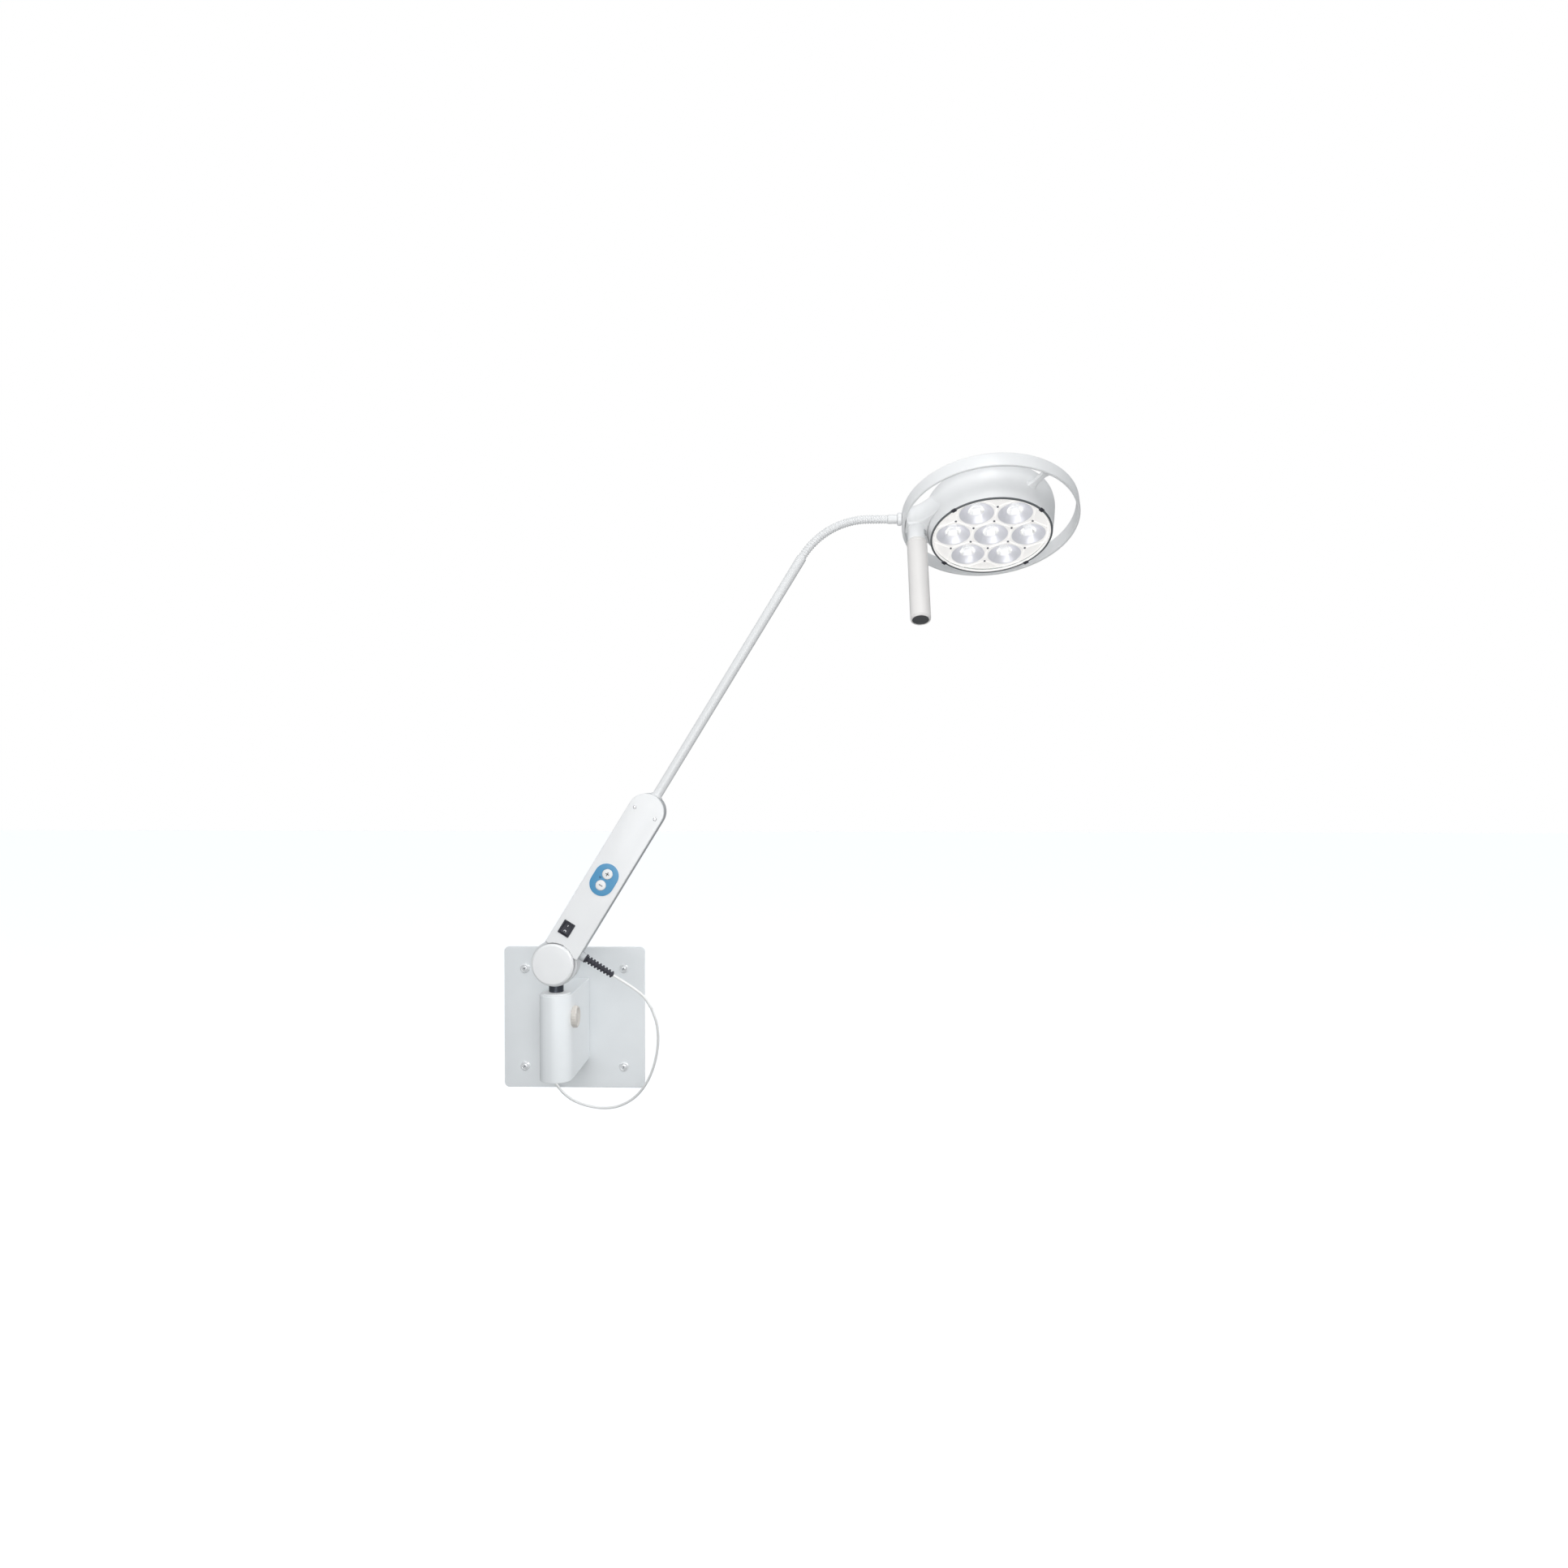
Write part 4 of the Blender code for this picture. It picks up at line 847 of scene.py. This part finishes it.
ARM_FRONT = ARM @ FRONT  # local x across the arm, y along it, z the distance from the wall
HOUSING_HALF = 30 * MM
HOUSING_WALL = 2.5 * MM
TRAY_START = 24 * MM
HOUSING_START = 40 * MM
HOUSING_END = 322 * MM
HOUSING_BACK = 129 * MM
HOUSING_SPLIT = 160 * MM
HOUSING_FRONT = 163 * MM
COVER_START = 27 * MM
COVER_ROOM_R = 36.5 * MM
COVER_SCREWS = [(-19 * MM, 290 * MM), (19 * MM, 290 * MM)]
SWITCH_AT = (-11 * MM, 63 * MM)
KEYPAD_AT = 163 * MM
BUTTONS = {"plus": KEYPAD_AT + 10.5 * MM, "minus": KEYPAD_AT - 10.5 * MM}
BUTTON_R = 8.5 * MM
GLAND_AT = 33.5 * MM
TUBE_END = 776


def housing_outline(start, wall=0.0):
    """The housing's outline as a function of the inset: a round top and a straight lower end."""
    middle = HOUSING_END - HOUSING_HALF
    corner = 1.5 * MM

    def outline(inset):
        half = HOUSING_HALF - wall - inset
        low = start + inset
        left = arc((-half + corner, low + corner), corner, 180, 270, 4)
        right = arc((half - corner, low + corner), corner, 270, 360, 4)
        return [*left, *right, *arc((0, middle), half, 0, 180, 48)]

    return outline


def arm_housing():
    tray = prism(housing_outline(TRAY_START), HOUSING_BACK, HOUSING_SPLIT - GAP, 3.2 * MM, 0.5 * MM)
    room = housing_outline(HOUSING_START + 3 * MM, HOUSING_WALL)
    hollow = prism(room, HOUSING_BACK + HOUSING_WALL, 170 * MM)
    drum_room = rod(39 * MM, 100 * MM, 200 * MM, sides=128)
    hub_slot = block((25 * MM, 30 * MM, 7 * MM), (12 * MM, HOUSING_START, 154.8 * MM))
    tube_hole = rod(8.3 * MM, -12 * MM, 12 * MM, sides=48)
    tube_hole.transform(Matrix.Translation((0, HOUSING_END, -TUBE_Y)) @ FRONT)
    boss = lathe([(0, 29), (7.5, 29), (7.5, 38.5, 0.8), (0, 38.5)], 48)
    boss.transform(Matrix.Translation((0, GLAND_AT, -TUBE_Y)) @ RIGHT)
    cut = carved(tray, [hollow, drum_room, hub_slot, tube_hole])
    piece("arm_tray", carved(cut, [boss], "UNION"), tray_grey(), "arm", ARM_FRONT,
          ["housing_rear"])

    cover = prism(housing_outline(COVER_START), HOUSING_SPLIT, HOUSING_FRONT, 0.4 * MM, 1.5 * MM)
    holes = [rod(BUTTON_R + GAP, 150 * MM, 170 * MM, (0, at), 64) for at in BUTTONS.values()]
    holes += [rod(1.9 * MM, 150 * MM, 170 * MM, at, 24) for at in COVER_SCREWS]
    holes.append(block((17.6 * MM, 23 * MM, 20 * MM), (*SWITCH_AT, 160 * MM)))
    holes.append(rod(COVER_ROOM_R, 150 * MM, 170 * MM, sides=128))
    piece("arm_cover", carved(cover, holes), moulded_white(), "arm", ARM_FRONT,
          ["housing_cover"])


def cover_screws():
    for i, (x, along) in enumerate(COVER_SCREWS, 1):
        profile = [(0, 150), (1.5, 150), (1.5, 163.3), (2.8, 163.3, 0.1), (2.7, 164, 0.5), (1.6, 164.4, 0.8),
                   (0, 164.4)]
        drive = prism(lambda inset: arc((0, 0), 1.15 * MM, 0, 300, 5), 163.4 * MM, 166 * MM)
        bm = carved(lathe(profile, 40), [drive])
        place = ARM_FRONT @ Matrix.Translation((x, along, 0))
        piece(f"cover_screw_{i}_head", bm, stainless(), "arm", place, [f"cover_screw_{i}"])


def keypad():
    """The blue film with its two round keys and a small level mark between them."""
    back, front = HOUSING_FRONT + GAP, HOUSING_FRONT + GAP + 0.8 * MM
    film = prism(lambda inset: stadium(20 * MM - inset, 27.5 * MM - inset), back, front, 0, 0.35 * MM)
    film.transform(Matrix.Translation((0, KEYPAD_AT, 0)))
    holes = [rod(BUTTON_R + GAP, 150 * MM, 170 * MM, (0, at), 64) for at in BUTTONS.values()]
    piece("keypad_film", carved(film, holes), film_blue(), "arm", ARM_FRONT, ["keypad_plate"])
    bars = []
    for i in range(3):
        at = (-7.6 * MM, KEYPAD_AT + (i - 1) * 1.15 * MM, front)
        bars.append(block(((2.0 + 1.4 * i) * MM, 0.7 * MM, 0.12 * MM), at))
    piece("keypad_level_mark", merged(*bars), ink(), "arm", ARM_FRONT)
    top = 164.9
    for name, at in BUTTONS.items():
        profile = [(0, top), (4, top - 0.05, 2), (7.2, top - 0.2, 1), (8.5, top - 0.9, 0.7), (8.5, 160.9),
                   (0, 160.9)]
        place = ARM_FRONT @ Matrix.Translation((0, at, 0))
        piece(f"{name}_key", lathe(profile, 72), moulded_white(), name,
              place, [f"{name}_button"])
        long, wide, thick, mark_at = 6.6 * MM, 1.35 * MM, 0.16 * MM, (0, 0, (top - 0.03) * MM)
        marks = [block((long, wide, thick), mark_at)]
        if name == "plus":
            marks.append(block((wide, long, thick), mark_at))
        piece(f"{name}_sign", merged(*marks), dark_plastic(), name, place)


def rocker_switch():
    """The appliance switch: a black bezel with a hollow rocker that tips about its middle."""
    x, along = SWITCH_AT
    front = HOUSING_FRONT + GAP
    bezel = prism(lambda inset: rounded_box(10 * MM - inset, 12 * MM - inset, 1.2 * MM - inset * 0.5),
                  front, front + 1.2 * MM, 0, 0.6 * MM)
    opening = block((14 * MM, 20.4 * MM, 30 * MM), (0, 0, front))
    case = block((17 * MM, 22.4 * MM, 13 * MM), (0, 0, front - 6.4 * MM), 0.5 * MM)
    room = block((14 * MM, 20.4 * MM, 10 * MM), (0, 0, HOUSING_FRONT - 1 * MM))
    shell = merged(carved(bezel, [opening]), carved(case, [room]))
    place = ARM_FRONT @ Matrix.Translation((x, along, 0))
    piece("switch_frame", shell, black_plastic(), "arm", place, ["switch_body"])

    half = 9.0
    dish = [(half * (2 * k / 16 - 1), 3.05 + 1.55 * abs(2 * k / 16 - 1) ** 1.6) for k in range(17)]
    profile = [(-3, -1.8), (-half, 0.5), *dish, (half, 0.5), (3, -1.8)]
    bm = bmesh.new()
    ends = [[bm.verts.new((side * MM, y * MM, z * MM)) for y, z in profile] for side in (-6.6, 6.6)]
    tip = Matrix.Translation((0, 0, 160 * MM)) @ Matrix.Rotation(math.radians(-8), 4, "X")
    rocker = piece("switch_paddle", joined(bm, ends), black_plastic(), "rocker",
                   place @ tip, ["switch_rocker"])
    bevel = rocker.modifiers.new("soft_edges", "BEVEL")
    bevel.width = 0.35 * MM
    bevel.segments = 3
    bevel.limit_method = "ANGLE"
    bar = block((0.8 * MM, 4.2 * MM, 0.12 * MM), (0, 5.3 * MM, 3.75 * MM))
    ring = lathe([(1.3, 3.66), (2.1, 3.66), (2.1, 3.86), (1.3, 3.86)], 40, True)
    bmesh.ops.translate(ring, vec=(0, -5.3 * MM, 0), verts=ring.verts)
    piece("switch_marks", merged(bar, ring), moulded_white(), "rocker", place @ tip)


def strain_relief():
    """A moulded bend relief: soft ribs that taper down to the lead."""
    ribs, length = 9, 53.5
    base, tip, core = 6.6, 5.6, 3.4
    pitch = length / ribs
    profile = [(0, 0), (7.4, 0, 0.3), (7.4, 2.2, 0.8), (5.6, 3, 0.5)]
    for i in range(ribs):
        low = pitch * i + (3.2 if i == 0 else 1.1)
        high = pitch * (i + 1) - 1.1
        outer = base + (tip - base) * (i + 0.5) / ribs
        inner = core + (base - core) * 0.2 * (1 - i / ribs)
        profile += [(inner, low - 0.6, 0.3), (inner, low, 0.3), (outer, low + 0.5, 0.9),
                    (outer, high - 0.5, 0.9), (inner, high, 0.3)]
    profile += [(core - 0.6, length - 0.1, 0.3), (2.4, length), (0, length)]
    bm = lathe(profile, 48, steps=3)
    place = ARM @ Matrix.Translation((38.8 * MM, TUBE_Y, GLAND_AT)) @ RIGHT
    piece("bend_relief", bm, black_plastic(), "arm", place, ["strain_relief"])


def arm_tube():
    profile = [(8, 255), (8, TUBE_END - 0.8, 0.8), (7.4, TUBE_END, 0.4), (6.5, TUBE_END), (6.5, 255)]
    place = ARM @ Matrix.Translation((0, TUBE_Y, 0))
    piece("arm_pole", lathe(profile, 64, True), powder_white(), "arm",
          place, ["arm_tube"])
    collar = [(8.1, 319.6), (10.4, 319.6), (10.4, 321.9, 0.6), (9.6, 323.2, 0.8), (8.1, 323.2, 0.2)]
    piece("pole_grommet", lathe(collar, 64, True), moulded_white(), "arm",
          place)


# --- gooseneck

FLEX_R = 6.75 * MM
FLEX_BEND_R = 127 * MM
FLEX_STRAIGHT = 30 * MM
FLEX_START = ARM @ Vector((0, TUBE_Y, TUBE_END * MM))
FLEX_LENGTH = FLEX_BEND_R * (math.pi / 2 - ARM_LEAN) + FLEX_STRAIGHT
FLEX_CUTS = [0, 21 * MM, 59 * MM, 97 * MM, 134 * MM, FLEX_LENGTH]
FLEX_NODES = ["flex_1", "flex_2", "flex_3", "flex_4", "flex_end"]
WINDING = 4.4 * MM
GROOVE = 1.1 * MM


def flex_point(s):
    """The gooseneck's centreline: a bend down to level, then a straight end."""
    side = Vector((math.cos(ARM_LEAN), 0, -math.sin(ARM_LEAN)))
    centre = FLEX_START + side * FLEX_BEND_R
    bend = math.pi / 2 - ARM_LEAN
    out = ARM_LEAN + min(s / FLEX_BEND_R, bend)
    point = centre + FLEX_BEND_R * Vector((-math.cos(out), 0, math.sin(out)))
    return point + Vector((max(0, s - bend * FLEX_BEND_R), 0, 0))


def gooseneck():
    """The wound sleeve, in stretches, each in place of one piece of the chain."""
    for i, (low, high) in enumerate(zip(FLEX_CUTS, FLEX_CUTS[1:])):
        steps = round((high - low) / (0.42 * MM))
        path = [flex_point(low + (high - low) * k / steps) for k in range(steps + 1)]

        def radius(along, angle):
            turn = (low + along) / WINDING - angle / (2 * math.pi)
            return FLEX_R - GROOVE * abs(math.cos(math.pi * turn)) ** 4

        obj = piece(f"gooseneck_{i + 1}", swept(path, radius, 32), powder_white(), None,
                    replaced=[FLEX_NODES[i]], sharp=80)
        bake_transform(obj)


# --- head

RING_R = 141.2 * MM
RING_THICK = 5 * MM
RING_HALF = 12 * MM
DOME = [(0, 53), (28, 52), (55, 48.5), (78, 42.5), (93, 34.5), (101, 25), (103.5, 12), (102.5, 0),
        (99.5, -20), (96, -35)]
DOME_WALL = 2.5
STRUT_Z = -6 * MM
YOKE_HALF = 15 * MM
YOKE_WING_DEG = 32
LED_PITCH = 60 * MM
HANDLE = HEAD @ Matrix.Translation((-118.5 * MM, 0, 0))


def smooth_profile(points, step):
    """A smooth curve through a profile's own points, which are in millimetres."""
    path = smooth_route([(r * MM, z * MM, 0) for r, z in points], step)
    return [Vector((max(0, p.x), p.y)) for p in path]


def dome_radius(z):
    """The dome's outer radius in metres, at a height in millimetres."""
    for (r1, z1), (r2, z2) in zip(DOME, DOME[1:]):
        if z2 <= z <= z1:
            return (r1 + (r2 - r1) * (z - z1) / (z2 - z1)) * MM
    return DOME[-1][0] * MM


def dome():
    outer = smooth_profile(DOME, 2.5 * MM)
    inner = smooth_profile([(max(0, r - DOME_WALL), z - DOME_WALL * (z > 12)) for r, z in DOME], 5 * MM)
    profile = [*outer, *reversed(inner)]
    piece("dome_cover", turned(profile, 160), moulded_white(), "head", HEAD, ["dome_shell"])


def grip_ring():
    inner = RING_R - RING_THICK
    corner = 2.2 * MM
    profile = [(RING_R, RING_HALF, corner), (RING_R, -RING_HALF, corner), (inner, -RING_HALF, corner),
               (inner, RING_HALF, corner)]
    piece("hand_ring", turned(softened(profile, True), 240, True), moulded_white(), "head",
          HEAD, ["grip_ring"])
    for i, side in enumerate((1, -1), 1):
        strut(i, side * math.radians(60))


def strut(number, angle):
    """A short arm from the ring to the dome that widens at both ends."""
    start, end = dome_radius(-3) - 1 * MM, RING_R - RING_THICK + 0.5 * MM
    steps = 16
    bm = bmesh.new()
    rings = []
    for k in range(steps + 1):
        t = 2 * k / steps - 1
        half_y = (5.2 + 3 * abs(t) ** 3) * MM
        half_z = (2.8 + 1.6 * abs(t) ** 4) * MM
        x = start + (end - start) * k / steps
        corners = rounded_box(half_y, half_z, 2.2 * MM, 5)
        rings.append([bm.verts.new((x, y, z + STRUT_Z)) for y, z in corners])
    place = HEAD @ Matrix.Rotation(angle, 4, "Z")
    piece(f"ring_arm_{number}", joined(bm, rings), moulded_white(), "head", place,
          [f"strut_{number}"])


def neck():
    """The ferrule on the gooseneck, the collar outside the ring and the block inside it."""
    low, high = BOX["ferrule"]
    length = (high.x - low.x) / MM
    profile = [(0, 0), (6.6, 0, 0.3), (7.25, 1, 0.5), (7.25, length - 1.2, 0.6), (6.8, length, 0.3),
               (0, length)]
    place = Matrix.Translation((low.x, TILT.y, (low.z + high.z) / 2)) @ RIGHT
    piece("gooseneck_ferrule", lathe(profile, 64), powder_white(), "neck",
          place, ["ferrule"])
    low, high = BOX["neck_collar"]
    length = (high.x - low.x) / MM
    profile = [(0, 0), (8.8, 0, 0.5), (10.5, 1.7, 1.2), (10.5, length - 1.5, 0.8), (9.6, length, 0.3),
               (0, length)]
    place = HEAD @ Matrix.Translation((low.x - HEAD.translation.x, 0, 0)) @ RIGHT
    piece("head_collar", lathe(profile, 80), moulded_white(), "head",
          place, ["neck_collar"])
    piece("neck_block", prism(yoke_outline, -20 * MM, 17 * MM, 6 * MM, 6 * MM, 7), moulded_white(), "head",
          HEAD, ["yoke_block"])


def yoke_outline(inset):
    """The yoke seen along the light: straight past the handle, then sweeping out to the dome."""
    left = -math.sqrt((RING_R - RING_THICK - GAP) ** 2 - YOKE_HALF**2) + inset
    half = YOKE_HALF - inset
    near = dome_radius(12 * MM) - 1.5 * MM
    wing = math.radians(YOKE_WING_DEG) - inset * 1.2 / near
    side = arc((0, 0), near, 180 - math.degrees(wing), 180 + math.degrees(wing), 20)
    end = Vector(side[0])
    start, bend = Vector((-126 * MM, half)), Vector((-113.4 * MM, half))
    shares = [k / 12 for k in range(12)]
    sweep = [start * (1 - t) ** 2 + bend * (2 * t * (1 - t)) + end * t**2 for t in shares]
    upper = [(left, half), *[tuple(p) for p in sweep]]
    lower = [(x, -y) for x, y in reversed(upper)]
    return [*upper, *side, *lower][::-1]


def handle():
    core = [(0, -19), (14.5, -19, 0.5), (14.5, -44.6, 0.8), (11, -44.8, 0.2), (11, -178, 0.5),
            (9, -182, 0.5), (0, -182)]
    piece("handle_stem", lathe(core, 72), moulded_white(), "head", HANDLE,
          ["handle_core"])
    latch = block((3.4 * MM, 7 * MM, 10 * MM), (14.2 * MM, 0, -32 * MM), 1.4 * MM, 4)
    latch.transform(Matrix.Rotation(math.radians(-28), 4, "Z"))
    piece("handle_latch", latch, latch_grey(), "head", HANDLE)
    sleeve = [(14.8, -45.3, 0.4), (16, -46.4, 0.9), (16, -50.2, 0.2), (15.6, -50.6), (15.6, -51.2),
              (16, -51.6, 0.2), (16, -188.6, 1.2), (15.3, -190, 0.6), (11.3, -190), (11.3, -45.3)]
    piece("handle_grip", lathe(sleeve, 96, True), handle_white(), "handle",
          HANDLE, ["handle_sleeve"])
    rim = [(13, -190.3), (15.4, -190.3, 0.3), (15.4, -191.6, 0.5), (14.6, -192.3, 0.4), (13, -192.3, 0.4)]
    piece("handle_end_rim", lathe(rim, 96, True), handle_white(), "handle",
          HANDLE)
    cap = [(0, -190.3), (13, -190.3, 0.3), (13, -191.8, 0.5), (12.4, -192.3, 0.4), (10.6, -192.3, 0.6),
           (10, -191.4, 0.5), (0, -191.4)]
    piece("handle_end", lathe(cap, 96), dark_plastic(), "handle", HANDLE,
          ["handle_end_cap"])


# --- light engine

CUP_R = 6.5
DISH_R = 27.0
WEB_Z = -31.0
LED_Z = -11.0


def led_places():
    ring = [Matrix.Rotation(math.pi / 3 * i, 3, "Z") @ Vector((LED_PITCH, 0, 0)) for i in range(6)]
    return [Vector((0, 0, 0)), *ring]


def lens_dish(number, spot):
    """One reflector cup with six soft petals, its LED and the clear collimator over it."""
    shares = [k / 14 for k in range(15)]
    wall = [(CUP_R + (DISH_R - CUP_R) * t**0.62, LED_Z + (WEB_Z - LED_Z) * t) for t in shares]
    bm = lathe([(0, LED_Z), *wall], 96)
    for vert in bm.verts:
        r = math.hypot(vert.co.x, vert.co.y) / MM
        share = max(0, (r - CUP_R) / (DISH_R - CUP_R))
        wave = abs(math.sin(3 * math.atan2(vert.co.y, vert.co.x)))
        scale = 1 - 0.07 * wave * math.sin(math.pi * share)
        vert.co.x *= scale
        vert.co.y *= scale
    place = HEAD @ Matrix.Translation(spot)
    made = piece(f"reflector_{number}", bm, reflector(), "head", place, sharp=50)
    solid = made.modifiers.new("wall", "SOLIDIFY")
    solid.thickness = 0.5 * MM
    solid.offset = 0
    lens = [(0, LED_Z - 3.4), (5.2, LED_Z - 3.6, 1), (6.4, LED_Z - 4.2, 0.5), (12.4, LED_Z - 13.6, 0.4),
            (12.6, LED_Z - 14.6, 0.4), (8, LED_Z - 15.4, 2), (4, LED_Z - 16.6, 2), (0, LED_Z - 17)]
    piece(f"collimator_{number}", lathe(lens, 64), clear_lens(), "head", place)
    side, half_pitch, z = 2.2 * MM, 1.7 * MM, (LED_Z - 0.9) * MM
    corners = [(x * half_pitch, y * half_pitch, z) for x in (-1, 1) for y in (-1, 1)]
    chip = merged(*[block((side, side, 0.5 * MM), corner, 0.2 * MM) for corner in corners])
    piece(f"led_{number}", chip, led_glow(), "head", place)


def hexagon_web():
    """The moulded web between the cups: a plate with seven holes, ridges and small screws."""
    plate = rod(91.5 * MM, WEB_Z * MM - 0.8 * MM, WEB_Z * MM + 0.8 * MM, sides=160)
    holes = [rod((DISH_R - 0.2) * MM, -40 * MM, -20 * MM, (s.x, s.y), 96) for s in led_places()]
    piece("optic_web", carved(plate, holes), web_white_painted_glow(), "head", HEAD, ["lens_array"])
    corner = LED_PITCH / math.sqrt(3)
    edges, spots = set(), set()
    for spot in led_places():
        ring = []
        for k in range(6):
            angle = math.radians(30 + 60 * k)
            point = spot + corner * Vector((math.cos(angle), math.sin(angle), 0))
            ring.append((round(point.x, 5), round(point.y, 5)))
        for a, b in zip(ring, [*ring[1:], ring[0]]):
            edges.add(tuple(sorted((a, b))))
        spots.update(ring)
    ridges = []
    for a, b in sorted(edges):
        start, end = Vector(a), Vector(b)
        length = (end - start).length
        bm = block((length - 5 * MM, 1.1 * MM, 2.2 * MM), (0, 0, WEB_Z * MM - 0.9 * MM), 0.45 * MM, 2)
        turn = math.atan2((end - start).y, (end - start).x)
        middle = (start + end) / 2
        bm.transform(Matrix.Translation((middle.x, middle.y, 0)) @ Matrix.Rotation(turn, 4, "Z"))
        ridges.append(bm)
    piece("optic_ridges", merged(*ridges), web_white_painted_glow(), "head", HEAD)
    screw = [(0, WEB_Z - 2.2), (1.2, WEB_Z - 2.2, 0.4), (1.7, WEB_Z - 1.6, 0.4), (1.7, WEB_Z - 0.8),
             (0, WEB_Z - 0.8)]
    screws = []
    for x, y in sorted(spots):
        if math.hypot(x, y) < 80 * MM:
            head = lathe(screw, 24)
            bmesh.ops.translate(head, vec=(x, y, 0), verts=head.verts)
            screws.append(head)
    piece("optic_screws", merged(*screws), blackened(), "head", HEAD)


def light_engine():
    hexagon_web()
    for i, spot in enumerate(led_places(), 1):
        lens_dish(i, spot)
    front = [(0, -32.6), (91.8, -32.6, 0.2), (91.8, -34.3, 0.4), (0, -34.5)]
    piece("front_glass", lathe(front, 160), front_glass(), "head", HEAD,
          ["lens_cover"])
    bezel = [(96.2, -35.3), (96.5, -36.6, 0.6), (95.3, -37.5, 0.5), (93.6, -37.5, 0.3), (93.2, -35.3)]
    piece("front_bezel", lathe(bezel, 160, True), bezel_grey(), "head",
          HEAD, ["lens_bezel"])
    rim = [(93.2, -35.3), (93.2, -36.9, 0.3), (91.4, -36.6, 0.5), (90, -35.3)]
    piece("bezel_rim", lathe(rim, 160, True), web_white_painted_glow(), "head", HEAD)
    clips = []
    for i in range(4):
        clip = block((6 * MM, 8 * MM, 2.6 * MM), (95 * MM, 0, -37.0 * MM), 0.7 * MM, 3)
        clip.transform(Matrix.Rotation(math.radians(45 + 90 * i), 4, "Z"))
        clips.append(clip)
    piece("bezel_clips", merged(*clips), black_plastic(), "head", HEAD)


# --- inner pieces from the CAD


def inner_pieces():
    """The CAD pieces that stay, each with its own finish."""
    finishes = {
        "bearing_tube": stainless, "lower_bush": bush_white, "clamp_screw": stainless,
        "pin_circlip": blackened, "pivot_bolt": stainless, "disc_spring": stainless,
        "pivot_nut": stainless, "friction_washer": bronze, "arm_hub": cast_metal,
        "tube_socket": cast_metal, "driver_board": board_green, "keypad_board": board_green,
        "heat_sink": cast_metal, "led_board": board_green,
    }
    for name, finish in finishes.items():
        node = frame["nodes"][name]
        node.data.shade_smooth()
        node.data.set_sharp_from_angle(angle=math.radians(32))
        paint(node, finish())


# --- everything


camera()
studio()
lead()
wall_plate()
wall_screws()
post()
clamp_knob()
swivel()
pivot_cap()
arm_housing()
cover_screws()
keypad()
rocker_switch()
strain_relief()
arm_tube()
gooseneck()
dome()
grip_ring()
neck()
handle()
light_engine()
inner_pieces()
